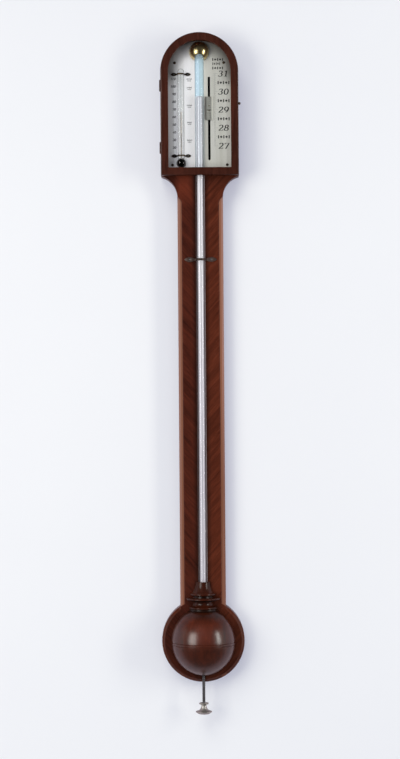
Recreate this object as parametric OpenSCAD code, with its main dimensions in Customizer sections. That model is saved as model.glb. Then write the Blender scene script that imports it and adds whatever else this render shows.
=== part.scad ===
// Stick barometer: a mahogany wall case with an arched glazed head, an exposed
// mercury tube, a turned cistern cover and a portable screw underneath.
// Millimetres. X to the viewer's right, Y into the wall, Z up.
// The origin is the hole of the hanging plate, on the plane of the wall.

/* [Case] */
// Width of the trunk
trunk_w = 64; // [58:1:72]
// Thickness of the solid backboard
board_t = 26; // [25:0.5:32]
// Thickness of the chevron veneer
veneer_t = 1; // [0.6:0.1:1.6]
// Radius of the round base
base_r = 58; // [55:1:66]
// Width of the arched head
head_w = 109; // [104:1:124]
// Radius of the concave shoulders under the head
shoulder_r = 30; // [26:1:38]
// Width of the stopped chamfers on the trunk
chamfer_w = 6.5; // [4:0.5:8]
// Radius of the scoop that ends each chamfer
stop_r = 12; // [9:1:20]
// Width of the chamfer round the base
base_chamfer_w = 4; // [2:0.5:6]
// Thickness of the head's side walls
rim_w = 9; // [7.5:0.5:11]
// Depth of the pocket that the plates lie in
pocket_depth = 6.2; // [5:0.2:9]

/* [Scale] */
// Lowest inch mark of the register
scale_low = 27; // [26:1:28]
// Highest inch mark of the register
scale_high = 31; // [31:1:32]
// Reading of the mercury, in inches
reading = 29.72; // [29.2:0.01:30]
// Height of the cistern's mercury above the centre of the base
level_z = 9; // [4:0.5:12]
// Room in the head below the lowest mark
head_drop = 42.5; // [38:0.5:50]
// Height of the arch's centre above the highest mark
head_rise = 1; // [0:0.5:12]

/* [Door] */
// Width of the door frame's face
stile_w = 10.7; // [9.5:0.1:14]
// Depth of wood in front of the glass
lip_t = 2.5; // [2:0.1:4]
// Thickness of the glass
glass_t = 1.8; // [1.5:0.1:3]
// Thickness of the bead behind the glass
bead_t = 2.9; // [2:0.1:4]
// Width of the rebate that holds the glass
rebate_w = 3.6; // [2.5:0.1:4.5]
// Radius of the frame's outer front edge
door_edge_r = 2; // [1:0.25:2.5]
// Gap between the closed door and the rim
door_gap = 0.3; // [0.2:0.05:0.6]
// Height of the pull above the centre of the base
pull_z = 752; // [720:1:770]
// Radius of the pull's head
pull_r = 2.2; // [1.5:0.1:3]
// Length of the pull in front of the door's edge
pull_out = 3; // [2:0.1:6]

/* [Hinges] */
// Height of each hinge
hinge_h = 15; // [12:0.5:20]
// Wood between a hinge leaf and the rebate
leaf_edge = 0.5; // [0.4:0.1:2]
// Thickness of a hinge leaf
leaf_t = 0.8; // [0.5:0.1:1.1]
// Radius of the hinge barrel
barrel_r = 1.5; // [1.3:0.05:1.9]
// Radius of the hinge pin
hinge_pin_r = 0.7; // [0.5:0.05:0.8]
// Height of the upper hinge above the centre of the base
upper_hinge_z = 778; // [770:1:786]
// Height of the lower hinge above the centre of the base
lower_hinge_z = 691; // [680:1:710]

/* [Plates] */
// Thickness of the silvered plates
plate_t = 1.6; // [1:0.1:2]
// Radius of a plate screw's head
plate_screw_r = 2; // [1.5:0.1:2.6]
// Distance of the slot from the centre line
slot_x = 13.5; // [12.5:0.25:18]
// Width of the slot for the cursor
slot_w = 3.4; // [2.4:0.1:4]
// Distance of the slot's foot below the lowest mark
slot_drop = 20; // [16:1:24]
// Distance of the slot's head below the highest mark
slot_stop = 4; // [0:0.5:8]

/* [Vernier] */
// Width of the cursor
cursor_w = 11.5; // [10:0.25:13]
// Height of the cursor
cursor_h = 32.5; // [28:0.5:36]
// Thickness of the cursor
cursor_t = 1.6; // [1.2:0.1:2.2]
// Height of the cursor's tongue in the slot
tongue_h = 14; // [10:0.5:18]
// Width of the keeper behind the plate
keeper_w = 8; // [6:0.25:10]
// Height of the keeper behind the plate
keeper_h = 20; // [16:0.5:24]
// Thickness of the keeper
keeper_t = 1.5; // [1:0.1:2]

/* [Thermometer] */
// Distance of the thermometer from the centre line
thermo_x = 26; // [23:0.5:28]
// Outer diameter of the thermometer tube
thermo_od = 8.8; // [7:0.1:10]
// Diameter of the thermometer's bore
thermo_bore = 1.2; // [0.8:0.1:2]
// Radius of the bulb
bulb_r = 6.5; // [5.5:0.1:7.5]
// Wall of the bulb
bulb_wall = 0.7; // [0.5:0.1:1]
// Height of the bulb's centre above the lower rail of the head's rim
bulb_up = 9.7; // [8:0.1:14]
// Length of the thermometer above the bulb's centre
thermo_len = 132; // [125:1:138]
// Height of the mercury thread above the bulb's centre
thread_h = 71; // [40:1:100]
// Height of the upper clip above the bulb's centre
upper_clip_up = 124.5; // [105:0.5:128]
// Height of the lower clip above the bulb's centre
lower_clip_up = 10; // [9:0.25:16]
// Length of a small clip's leaf
small_leaf_l = 8.6; // [7.6:0.2:11]
// Height of a small clip's leaf
small_leaf_h = 4.6; // [4:0.1:5.5]

/* [Barometer tube] */
// Outer diameter of the tube
tube_od = 12.6; // [11:0.1:14]
// Bore of the tube
tube_bore = 7.6; // [5:0.1:9]
// Depth of the tube's foot under the cistern's level
tube_dip = 17; // [14:0.5:20]
// Radius of the brass ball on the tube
cap_r = 14; // [12:0.1:15]
// Gap between the ball and the rim of the head
cap_gap = 1.5; // [1:0.25:4]
// Height of the trunk clip above the centre of the base
clip_z = 535; // [300:1:600]
// Length of the trunk clip's leaf
leaf_l = 15.6; // [12:0.2:17]
// Height of the trunk clip's leaf
leaf_h = 6.7; // [5.5:0.1:8]
// Thickness of the clips
strap_t = 0.9; // [0.7:0.1:1.2]

/* [Cistern] */
// Radius of the boxwood cistern
cistern_r = 21; // [19:0.5:23]
// Wall of the cistern
cistern_wall = 4.5; // [3.5:0.25:5.5]
// Height of the pot above the mercury's level
pot_up = 9; // [6:0.5:10]
// Depth of the pot under the mercury's level
pot_down = 23; // [20:0.5:25]
// Thickness of the cap
cap_t = 6; // [4:0.5:7]
// Depth of the cap's spigot in the pot
spigot_h = 4; // [3:0.5:5]
// Width of the gland round the tube
gland_w = 3; // [2:0.25:4]
// Height of the base ring
ring_h = 5; // [4:0.25:6]
// Radius of the leather bag
bag_r = 13.5; // [12:0.25:14.5]
// Depth of the bag under the pot
bag_drop = 6.2; // [5.5:0.1:7]
// Thickness of the leather
leather_t = 1.2; // [0.8:0.1:1.6]

/* [Cistern cover] */
// Greatest radius of the turned cover
cover_r = 45; // [42:0.5:48]
// Radius of the arc above the equator
cover_arc_up = 51; // [48:0.2:56]
// Radius of the arc below the equator
cover_arc_low = 47.6; // [46:0.2:52]
// Height of the equator above the centre of the base
equator_z = -1; // [-4:0.5:2]
// Wall of the cover
cover_wall = 8; // [6.5:0.25:9]
// Distance of the second turned line under the first
line_gap = 3.5; // [2.5:0.1:5]
// Depth of the turned lines
line_d = 0.7; // [0.4:0.1:1]
// Radius where the neck rises from the ball
neck_r = 19; // [17.5:0.25:21]
// Height of the fillet under the lowest ring
fillet_h = 1.6; // [1:0.1:2]
// Radius of the lowest ring
low_ring_r = 20; // [19.5:0.25:23]
// Height of the lowest ring
low_ring_h = 3.4; // [2.5:0.1:4.5]
// Radius of the waist of the cove
waist_r = 13.8; // [12.5:0.1:15]
// Height of the cove
cove_h = 9.5; // [8:0.25:12]
// Radius of the middle ring
mid_ring_r = 23.5; // [21:0.25:26]
// Height of the middle ring
mid_ring_h = 3; // [2:0.1:4]
// Radius of the groove over the middle ring
groove_r = 13.5; // [11.5:0.1:15]
// Height of the groove over the middle ring
groove_h = 2.8; // [2:0.1:4]
// Radius of the top ring
top_ring_r = 18; // [16.5:0.25:20]
// Height of the top ring
top_ring_h = 4; // [3:0.1:5]
// Radius of the bell's foot
bell_low_r = 15; // [13.5:0.25:16]
// Radius of the bell's mouth
bell_top_r = 10; // [9:0.25:11.5]
// Height of the bell
bell_h = 15.5; // [12:0.5:20]

/* [Portable screw] */
// Radius of the screw
screw_r = 2.2; // [1.8:0.1:2.8]
// Height of the pressure pad
pad_h = 3.6; // [3:0.1:4.5]
// Gap between the pad and the nut plate
nut_drop = 5; // [4:0.25:6]
// Radius of the nut plate
nut_r = 16.5; // [15:0.25:17.5]
// Thickness of the nut plate
nut_t = 4; // [3:0.25:4.5]
// Radius of the nut plate's boss
boss_r = 5.5; // [4.5:0.25:6]
// Height of the boss under the nut plate
boss_h = 3.5; // [3:0.25:4]
// Length of bare screw between the cover and the knob
screw_out = 38; // [34:0.5:46]
// Radius of the knob's upper flange
flange_r = 6.6; // [5.5:0.1:7.5]
// Radius of the knob's neck
knob_neck_r = 3.6; // [3.3:0.1:4.5]
// Radius of the knob's rim
knob_r = 11.5; // [10:0.25:14]
// Radius of the knob's flat foot
knob_foot_r = 6.7; // [5.5:0.1:8]
// Height of the knob
knob_h = 15.7; // [14:0.25:20]

/* [Hanging plate] */
// Distance of the hanging hole under the top of the head
hanger_in = 26.5; // [25:0.5:32]
// Radius of the hanging hole
hanger_hole_r = 4; // [3:0.25:5]
// Thickness of the hanging plate
hanger_t = 2.5; // [2:0.25:4]
// Width of the hanging plate
hanger_w = 24; // [20:1:28]
// Distance of a hanging screw from the hole
hanger_screw_up = 11; // [10:0.5:13]
// Depth of the pocket behind the hole
hanger_pocket = 9; // [7:0.5:11]

/* [Hidden] */
$fn = 96;
inch = 25.4;
// Clearance of a piece that is seated in another
seat = 0.05;
// Running clearance of a pin or screw
run = 0.05;
// Clearance of a piece that passes another
room = 0.3;
// Extra length of a cut past the surface it opens
past = 1;
big = 2000;

// Depths in front of the wall
face_d = board_t + veneer_t;
floor_d = board_t - pocket_depth;
plate_d = floor_d + plate_t;
tube_r = tube_od / 2;
axis_d = plate_d + room + tube_r;
rim_d = axis_d + tube_r + 0.5;
door_d = rim_d + door_gap;
glass_d = door_d + bead_t;
lip_d = glass_d + glass_t;
front_d = lip_d + lip_t;
hinge_d = rim_d + door_gap / 2;
cap_d = min(plate_d, glass_d - 2 * room - cap_r);
thermo_d = plate_d + seat + thermo_od / 2;

// Heights above the centre of the base
function inch_z(n) = level_z + inch * n;
head_z = inch_z(scale_low) - head_drop;
arch_z = inch_z(scale_high) + head_rise;
hanger_z = arch_z + head_w / 2 - hanger_in;
shoulder_side = shoulder_r - (head_w - trunk_w) / 2;
shoulder_z = head_z - sqrt(pow(shoulder_r, 2) - pow(shoulder_side, 2));
chamfer_n = chamfer_w / sqrt(2);
stop_z = shoulder_z - sqrt(2 * stop_r * chamfer_n - pow(chamfer_n, 2));
meniscus_z = inch_z(reading);
bulb_z = head_z + rim_w + bulb_up;
slot_low_z = inch_z(scale_low) - slot_drop;
slot_high_z = inch_z(scale_high) - slot_stop;
tongue_z = meniscus_z - cursor_h / 2;
cap_z = arch_z + head_w / 2 - rim_w - cap_r - cap_gap;
tube_top_z = cap_z + cap_r / 3;
tube_foot_z = level_z - tube_dip;
pot_top_z = level_z + pot_up;
pot_foot_z = level_z - pot_down;
cistern_top_z = pot_top_z + cap_t;
ring_top_z = pot_foot_z - leather_t;
ring_foot_z = ring_top_z - ring_h;
bag_foot_z = pot_foot_z - bag_drop;
pad_top_z = bag_foot_z - room;
pad_foot_z = pad_top_z - pad_h;
nut_top_z = pad_foot_z - nut_drop;
nut_foot_z = nut_top_z - nut_t;
boss_foot_z = nut_foot_z - boss_h;
cover_up_x = cover_arc_up - cover_r;
cover_low_x = cover_arc_low - cover_r;
cover_foot_z = equator_z - sqrt(pow(cover_arc_low, 2) - pow(cover_low_x, 2));
neck_z = equator_z + sqrt(pow(cover_arc_up, 2) - pow(neck_r + cover_up_x, 2));
low_ring_z = neck_z + fillet_h;
cove_z = low_ring_z + low_ring_h;
mid_ring_z = cove_z + cove_h;
groove_z = mid_ring_z + mid_ring_h;
top_ring_z = groove_z + groove_h;
bell_z = top_ring_z + top_ring_h;
bell_arc = (pow(bell_h, 2) + pow(bell_low_r - bell_top_r, 2)) / (2 * (bell_low_r - bell_top_r));
socket_h = pad_h / 2;
screw_tip_z = pad_foot_z + socket_h;
knob_top_z = cover_foot_z - screw_out;
knob_grip = knob_h / 2;
screw_foot_z = knob_top_z - knob_grip;

// Places in plan
groove_wall = tube_r + room;
hinge_out = 0.2;
hinge_x = -(head_w / 2 + hinge_out);
leaf_w = stile_w - rebate_w + hinge_out - leaf_edge;
hinge_sides = [upper_hinge_z, lower_hinge_z];
screw_hole_r = 0.9;
small_pin_r = 0.6;
plate_screw_in = plate_screw_r + 5;
plate_screw_y = [head_z + rim_w + plate_screw_in, arch_z + plate_screw_in + 7.5];
bag_bore_r = bag_r - leather_t;
pad_r = bag_bore_r - 1.3;
gland_r = tube_r + gland_w;
cover_screw_x = cover_r - cover_wall / 2;
cover_screw_r = 1.8;
nut_screw_x = nut_r * 0.6;
nut_screw_y = nut_r * 0.5;

// Frames: place moves the base's centre to its height under the origin, upright
// turns a drawing of the front so that its third axis is the depth in front of
// the wall, and on_axis stands a turned piece on the tube's axis.
module place() {
    translate([0, 0, -hanger_z]) children();
}
module upright() {
    rotate([90, 0, 0]) children();
}
module layer(d0, d1) {
    translate([0, 0, d0]) linear_extrude(d1 - d0) children();
}
module on_axis() {
    translate([0, -axis_d, 0]) children();
}
module turned() {
    on_axis() rotate_extrude() children();
}
module column(r0, r1, z0, z1) {
    translate([r0, z0]) square([r1 - r0, z1 - z0]);
}
module half(side) {
    translate([side > 0 ? 0 : -big, -big / 2]) square([big, big]);
}
module front_of(d0) {
    upright() layer(d0, d0 + big) square(big * 2, center = true);
}

// Outlines of the case, drawn from the front
module head_outline(inset) {
    w = head_w / 2 - inset;
    translate([-w, head_z + inset]) square([2 * w, arch_z - head_z - inset]);
    translate([0, arch_z]) circle(w);
}
module shoulders() {
    difference() {
        translate([-head_w / 2, shoulder_z]) square([head_w, head_z - shoulder_z]);
        for (side = [-1, 1])
            translate([side * (trunk_w / 2 + shoulder_r), shoulder_z]) circle(shoulder_r);
    }
}
module body_outline() {
    shoulders();
    translate([-trunk_w / 2, 0]) square([trunk_w, shoulder_z]);
    circle(base_r);
}

// Cuts that the board and the veneers share
module chamfer_profile() {
    square([stop_r, stop_z]);
    intersection() {
        translate([stop_r, stop_z]) circle(stop_r);
        translate([0, stop_z]) square(stop_r);
    }
}
module trunk_chamfers() {
    mid_x = trunk_w / 2 - chamfer_w / 2;
    mid_d = face_d - chamfer_w / 2;
    difference() {
        for (side = [0, 1])
            mirror([side, 0, 0]) translate([mid_x, -mid_d, 0]) rotate([90, 0, -45])
                linear_extrude(2 * chamfer_w, center = true) chamfer_profile();
        upright() layer(-past, face_d + past) circle(base_r);
    }
}
module base_chamfer() {
    inner = base_r - base_chamfer_w;
    low = face_d - base_chamfer_w;
    upright() difference() {
        rotate_extrude() polygon([[inner, face_d], [base_r, low], [base_r + past, low - past],
            [base_r + past, face_d + past], [inner - past, face_d + past]]);
        translate([-trunk_w / 2, 0, 0]) cube([trunk_w, 2 * base_r, 2 * face_d]);
    }
}
module chamfered(d0, d1) {
    difference() {
        upright() layer(d0, d1) children();
        trunk_chamfers();
        base_chamfer();
    }
}
module tube_groove() {
    on_axis() translate([0, 0, cistern_top_z]) cylinder(r = groove_wall, h = head_z);
}
module cistern_recess() {
    on_axis() {
        translate([0, 0, ring_foot_z])
            cylinder(r = cistern_r + room, h = cistern_top_z + room - ring_foot_z);
        translate([0, 0, nut_foot_z]) cylinder(r = nut_r + room, h = ring_top_z - nut_foot_z);
        translate([0, 0, boss_foot_z - room]) cylinder(r = boss_r + room, h = nut_t + boss_h);
        translate([0, 0, -2 * base_r]) cylinder(r = screw_r + room, h = 2 * base_r);
    }
}
module cover_screw_places() {
    for (side = [-1, 1]) translate([side * cover_screw_x, equator_z, 0]) children();
}
module plate_screw_places(side) {
    low_w = head_w / 2 - rim_w - plate_screw_in;
    high_w = low_w - 4;
    translate([side * low_w, plate_screw_y[0], 0]) children();
    translate([side * high_w, plate_screw_y[1], 0]) children();
}
module nut_screw_places() {
    for (side = [-1, 1]) translate([side * nut_screw_x, nut_screw_y, 0]) children();
}

// Back of the case
module hanger_outline(extra) {
    r = hanger_w / 2;
    translate([-r - extra, hanger_z - hanger_screw_up]) square([2 * (r + extra), 2 * hanger_screw_up]);
    for (side = [-1, 1]) translate([0, hanger_z + side * hanger_screw_up]) circle(r + extra);
}
module hanger_screw_places() {
    for (side = [-1, 1]) translate([0, hanger_z + side * hanger_screw_up, 0]) children();
}
// A countersunk wood screw that is driven towards the viewer from depth d0
module back_screw(d0, length, shank, head) {
    translate([0, 0, d0]) {
        cylinder(r1 = head, r2 = shank, h = head - shank);
        cylinder(r = shank, h = length);
    }
}
// A domed screw or pin that is driven into the wall from a seat at depth d0
module front_pin(d0, length, shank, head) {
    translate([0, 0, d0 - length]) cylinder(r = shank, h = length);
    translate([0, 0, d0]) intersection() {
        translate([0, 0, -head]) sphere(r = head * sqrt(2));
        cylinder(r = head, h = head);
    }
}

module vernier_channel() {
    w = keeper_w + 2 * room;
    over = (keeper_h - tongue_h) / 2 + room;
    upright() layer(floor_d - keeper_t - 3 * room, floor_d + past)
        translate([slot_x - w / 2, slot_low_z - over])
            square([w, slot_high_z - slot_low_z + 2 * over]);
}
module bulb_recess() {
    upright() translate([-thermo_x, bulb_z, thermo_d]) sphere(r = bulb_r + room);
}

module backboard() color("#55271d") place() difference() {
    chamfered(0, board_t) {
        head_outline(0);
        body_outline();
    }
    upright() layer(floor_d, board_t + past) head_outline(rim_w);
    tube_groove();
    cistern_recess();
    vernier_channel();
    bulb_recess();
    upright() layer(-past, hanger_t) hanger_outline(seat);
    upright() translate([0, hanger_z, -past]) cylinder(r = hanger_hole_r * 2, h = hanger_pocket + past);
    upright() hanger_screw_places() cylinder(r = screw_hole_r + seat, h = hanger_pocket);
    upright() cover_screw_places() back_screw(0, face_d, cover_screw_r + seat, 2 * cover_screw_r);
    upright() for (side = [-1, 1]) plate_screw_places(side)
        translate([0, 0, floor_d / 2]) cylinder(r = screw_hole_r + seat, h = floor_d);
    upright() translate([0, cap_z, floor_d / 2]) cylinder(r = cap_r / 5 + seat, h = floor_d);
    upright() thermo_pin_places() translate([0, 0, floor_d / 2])
        cylinder(r = small_pin_r + seat, h = floor_d);
    upright() clip_pin_places() translate([0, 0, board_t / 2]) cylinder(r = small_pin_r + seat, h = board_t);
    on_axis() nut_screw_places() translate([0, 0, nut_foot_z - 2 * nut_t])
        cylinder(r = screw_hole_r + seat, h = 3 * nut_t);
}

module trunk_veneer(side) place() difference() {
    chamfered(board_t, face_d) intersection() {
        body_outline();
        translate([side * seat, 0]) half(side);
    }
    tube_groove();
    cistern_recess();
    upright() cover_screw_places() cylinder(r = cover_screw_r + seat, h = 2 * face_d);
    upright() clip_pin_places() cylinder(r = small_pin_r + seat, h = 2 * face_d);
}
module trunk_veneer_left() color("#4f251c") trunk_veneer(-1);
module trunk_veneer_right() color("#653326") trunk_veneer(1);

// Head rim, door and hinges
module hinge_room(z) {
    reach = hinge_h / 2 + hinge_pin_r + seat;
    translate([hinge_x, -hinge_d, z - reach]) cylinder(r = barrel_r + room, h = 2 * reach);
}
module leaf_block(z, d0, d1, extra) {
    upright() layer(d0, d1) translate([hinge_x, z - hinge_h / 2 - extra])
        square([leaf_w + extra, hinge_h + 2 * extra]);
}
module hinge_screw_places(z) {
    for (side = [-1, 1])
        translate([hinge_x + leaf_w * 0.6, z + side * hinge_h / 4, 0]) children();
}

module head_rim() color("#4a241b") place() difference() {
    upright() layer(board_t, rim_d) difference() {
        head_outline(0);
        head_outline(rim_w);
        translate([-groove_wall, 0]) square([2 * groove_wall, head_z + 2 * rim_w]);
    }
    for (z = hinge_sides) {
        hinge_room(z);
        leaf_block(z, rim_d - leaf_t, rim_d + past, seat);
        upright() hinge_screw_places(z) translate([0, 0, board_t + 1])
            cylinder(r = small_pin_r + seat, h = rim_d);
    }
}

// Cutter that rounds the door's outer front edge along the sides, foot and arch
module edge_profile(r) {
    difference() {
        translate([-past, 0]) square([r + past, r + past]);
        translate([r, 0]) circle(r);
    }
}
module door_edges() {
    r = door_edge_r;
    span = arch_z - head_z;
    base_d = front_d - r;
    translate([0, arch_z, base_d]) rotate_extrude(angle = 180)
        translate([head_w / 2, 0]) mirror([1, 0]) edge_profile(r);
    for (side = [0, 1])
        mirror([side, 0, 0]) translate([-head_w / 2, arch_z, base_d]) rotate([90, 0, 0])
            linear_extrude(span + past) edge_profile(r);
    translate([-head_w / 2 - past, head_z, base_d]) rotate([90, 0, 90])
        linear_extrude(head_w + 2 * past) edge_profile(r);
}
module pull_place() {
    translate([head_w / 2, -(door_d + front_d) / 2, pull_z]) rotate([0, 90, 0]) children();
}

module door_frame() color("#4d261d") place() difference() {
    upright() difference() {
        layer(door_d, front_d) difference() {
            head_outline(0);
            head_outline(stile_w);
        }
        layer(door_d - past, lip_d) head_outline(stile_w - rebate_w);
        door_edges();
    }
    for (z = hinge_sides) {
        hinge_room(z);
        leaf_block(z, door_d - past, door_d + leaf_t, seat);
        upright() hinge_screw_places(z) translate([0, 0, door_d])
            cylinder(r = small_pin_r + seat, h = front_d - door_d - 2);
    }
    pull_place() translate([0, 0, -stile_w / 2]) cylinder(r = pull_r / 2 + seat, h = stile_w);
}
module door_glass() color("#d8e6ea", 0.35) place() upright()
    layer(glass_d, lip_d - seat) head_outline(stile_w - rebate_w + seat);

module glazing_bead() color("#5a2d20") place() upright() layer(door_d, glass_d - seat) difference() {
    head_outline(stile_w - rebate_w + seat);
    head_outline(stile_w);
}

// A leaf carries the barrel over the share of its height between the given cuts
module hinge_leaf(z, d0, d1, cuts) {
    low = z - hinge_h / 2;
    difference() {
        union() {
            leaf_block(z, d0, d1, 0);
            translate([hinge_x, -hinge_d, low]) cylinder(r = barrel_r, h = hinge_h);
        }
        for (cut = cuts)
            translate([hinge_x, -hinge_d, low + cut[0] * hinge_h - room / 2])
                cylinder(r = barrel_r + room, h = (cut[1] - cut[0]) * hinge_h + room);
        translate([hinge_x, -hinge_d, low - past]) cylinder(r = hinge_pin_r + run, h = hinge_h + 2 * past);
        upright() hinge_screw_places(z) cylinder(r = small_pin_r + seat, h = big);
    }
}
module case_leaf(z) color("#b08a4e") place() hinge_leaf(z, rim_d - leaf_t, rim_d, [[1 / 3, 2 / 3]]);
module door_leaf(z) color("#b08a4e") place()
    hinge_leaf(z, door_d, door_d + leaf_t, [[-0.1, 1 / 3], [2 / 3, 1.1]]);
module hinge_pin(z) color("#8c7a5a") place() {
    translate([hinge_x, -hinge_d, z - hinge_h / 2]) cylinder(r = hinge_pin_r, h = hinge_h);
    for (side = [-1, 1])
        translate([hinge_x, -hinge_d, z + side * hinge_h / 2 - (side < 0 ? hinge_pin_r : 0)])
            cylinder(r = barrel_r * 0.8, h = hinge_pin_r);
}
module upper_hinge_case_leaf() case_leaf(upper_hinge_z);
module upper_hinge_door_leaf() door_leaf(upper_hinge_z);
module upper_hinge_pin() hinge_pin(upper_hinge_z);
module lower_hinge_case_leaf() case_leaf(lower_hinge_z);
module lower_hinge_door_leaf() door_leaf(lower_hinge_z);
module lower_hinge_pin() hinge_pin(lower_hinge_z);
module hinge_case_screws() color("#8c7a5a") place() upright() for (z = hinge_sides)
    hinge_screw_places(z) translate([0, 0, board_t + 1]) cylinder(r = small_pin_r, h = rim_d - board_t - 1);
module hinge_door_screws() color("#8c7a5a") place() upright() for (z = hinge_sides)
    hinge_screw_places(z) translate([0, 0, door_d]) cylinder(r = small_pin_r, h = front_d - door_d - 2);
module door_pull() color("#3a2c24") place() pull_place() rotate_extrude() {
    translate([0, -stile_w / 2]) square([pull_r / 2, stile_w / 2 + pull_out / 2]);
    translate([0, seat]) square([pull_r * 0.8, 0.6]);
    intersection() {
        translate([0, pull_out - pull_r]) circle(pull_r);
        translate([0, pull_out / 3]) square([pull_r, pull_out]);
    }
}

// Silvered plates
module plate_outline(side) {
    intersection() {
        head_outline(rim_w + seat);
        translate([side * seat, 0]) half(side);
    }
}
module plate_holes(side) {
    plate_screw_places(side) cylinder(r = screw_hole_r + seat, h = big);
    translate([0, cap_z, 0]) cylinder(r = cap_r / 5 + seat, h = big);
}
module thermometer_plate() color("#c8cdd2") place() upright() difference() {
    layer(floor_d, plate_d) plate_outline(-1);
    plate_holes(-1);
    translate([-thermo_x, bulb_z, 0]) cylinder(r = bulb_r + room, h = big);
    thermo_pin_places() cylinder(r = small_pin_r + seat, h = big);
}
module slot_outline() {
    r = slot_w / 2;
    translate([slot_x - r, slot_low_z + r]) square([slot_w, slot_high_z - slot_low_z - slot_w]);
    for (z = [slot_low_z + r, slot_high_z - r]) translate([slot_x, z]) circle(r);
}
module register_plate() color("#a9aaa3") place() upright() difference() {
    layer(floor_d, plate_d) plate_outline(1);
    plate_holes(1);
    layer(0, big) slot_outline();
}
module plate_screws() color("#6d6a62") place() upright() for (side = [-1, 1])
    plate_screw_places(side) front_pin(plate_d, floor_d / 2, screw_hole_r, plate_screw_r);

// Vernier
module rivet_places() {
    for (side = [-1, 1]) translate([slot_x, tongue_z + side * tongue_h / 4, 0]) children();
}
cursor_back_d = plate_d + room / 2;
cursor_d = cursor_back_d + cursor_t;
keeper_d = floor_d - room;
rivet_r = slot_w / 4;
module vernier_cursor() color("#9c9a8e") place() upright() difference() {
    bevel = cursor_t * 0.75;
    union() {
        layer(cursor_back_d, cursor_d)
            translate([slot_x - cursor_w / 2, meniscus_z - cursor_h]) square([cursor_w, cursor_h]);
        layer(keeper_d, cursor_back_d) translate([slot_x - slot_w / 2 + run, tongue_z - tongue_h / 2])
            square([slot_w - 2 * run, tongue_h]);
    }
    translate([slot_x + cursor_w / 2, meniscus_z - cursor_h / 2, cursor_d]) rotate([0, 30, 0])
        cube([4 * bevel, cursor_h + 2 * past, 2 * bevel], center = true);
    translate([slot_x - cursor_w / 4, meniscus_z - cursor_h * 0.6, cursor_d - cursor_t / 3])
        cube([cursor_w / 2, cursor_t / 2, cursor_t]);
    rivet_places() cylinder(r = rivet_r + seat, h = big);
}
module vernier_keeper() color("#a8863f") place() upright() difference() {
    layer(keeper_d - keeper_t, keeper_d)
        translate([slot_x - keeper_w / 2, tongue_z - keeper_h / 2]) square([keeper_w, keeper_h]);
    rivet_places() cylinder(r = rivet_r + seat, h = big);
}
module vernier_rivets() color("#8c7a5a") place() upright() rivet_places()
    layer(keeper_d - keeper_t, cursor_d) circle(rivet_r);

// Clips: a leaf on each side and a saddle over the glass
module leaf_outline(length, height) {
    r = (pow(length, 2) + pow(height, 2)) / (4 * height);
    intersection() {
        translate([0, r - height / 2]) circle(r);
        translate([0, height / 2 - r]) circle(r);
    }
}
module clip(z, centre_d, seat_d, glass_r, length, height) {
    inner = glass_r + seat;
    outer = inner + strap_t;
    strap_h = height * 0.45;
    translate([0, 0, z - strap_h / 2]) linear_extrude(strap_h) difference() {
        union() {
            translate([0, -centre_d]) circle(outer);
            translate([-outer, -centre_d]) square([2 * outer, centre_d - seat_d]);
        }
        translate([0, -centre_d]) circle(inner);
        translate([-inner, -centre_d]) square([2 * inner, centre_d]);
        translate([-big / 2, -seat_d]) square(big);
    }
    upright() difference() {
        layer(seat_d, seat_d + strap_t) for (side = [-1, 1]) {
            translate([side * (outer + length / 2), z]) leaf_outline(length, height);
            translate([side * (outer + length / 6) - length / 5, z - strap_h / 2])
                square([length * 0.4, strap_h]);
        }
        layer(0, big) translate([-inner, z - height]) square([2 * inner, 2 * height]);
        for (side = [-1, 1]) translate([side * (outer + length / 2), z, 0])
            cylinder(r = small_pin_r + seat, h = big);
    }
}
module clip_pin_spots(z, glass_r, length) {
    x = glass_r + seat + strap_t + length / 2;
    for (side = [-1, 1]) translate([side * x, z, 0]) children();
}
thermo_clip_z = [bulb_z + upper_clip_up, bulb_z + lower_clip_up];
module thermo_pin_places() {
    for (z = thermo_clip_z)
        translate([-thermo_x, 0, 0]) clip_pin_spots(z, thermo_od / 2, small_leaf_l) children();
}
module clip_pin_places() {
    clip_pin_spots(clip_z, tube_r, leaf_l) children();
}
module thermometer_clip(z) color("#4a4642") place() translate([-thermo_x, 0, 0])
    clip(z, thermo_d, plate_d, thermo_od / 2, small_leaf_l, small_leaf_h);
module upper_thermometer_clip() thermometer_clip(thermo_clip_z[0]);
module lower_thermometer_clip() thermometer_clip(thermo_clip_z[1]);
module thermometer_clip_pins() color("#6d6a62") place() upright() thermo_pin_places()
    front_pin(plate_d + strap_t, floor_d / 2, small_pin_r, 2 * small_pin_r);
module trunk_tube_clip() color("#554d48") place()
    clip(clip_z, axis_d, face_d, tube_r, leaf_l, leaf_h);
module trunk_clip_pins() color("#6d6a62") place() upright() clip_pin_places()
    front_pin(face_d + strap_t, board_t / 2, small_pin_r, 2 * small_pin_r);

// Thermometer: a stem with a blown bulb, and the mercury in it
module thermo_stand() {
    translate([-thermo_x, -thermo_d, bulb_z]) rotate_extrude() intersection() {
        children();
        translate([0, -big / 2]) square(big);
    }
}
bulb_in_r = bulb_r - bulb_wall;
module thermo_hollow(top) {
    circle(bulb_in_r);
    column(0, thermo_bore / 2, 0, top);
}
module thermometer_tube() color("#e4ecec", 0.5) place() thermo_stand() difference() {
    union() {
        circle(bulb_r);
        column(0, thermo_od / 2, 0, thermo_len - thermo_od / 2);
        translate([0, thermo_len - thermo_od / 2]) circle(thermo_od / 2);
    }
    thermo_hollow(thermo_len - thermo_od);
}
module thermometer_mercury() color("#3f4144") place() thermo_stand() thermo_hollow(thread_h);

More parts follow.
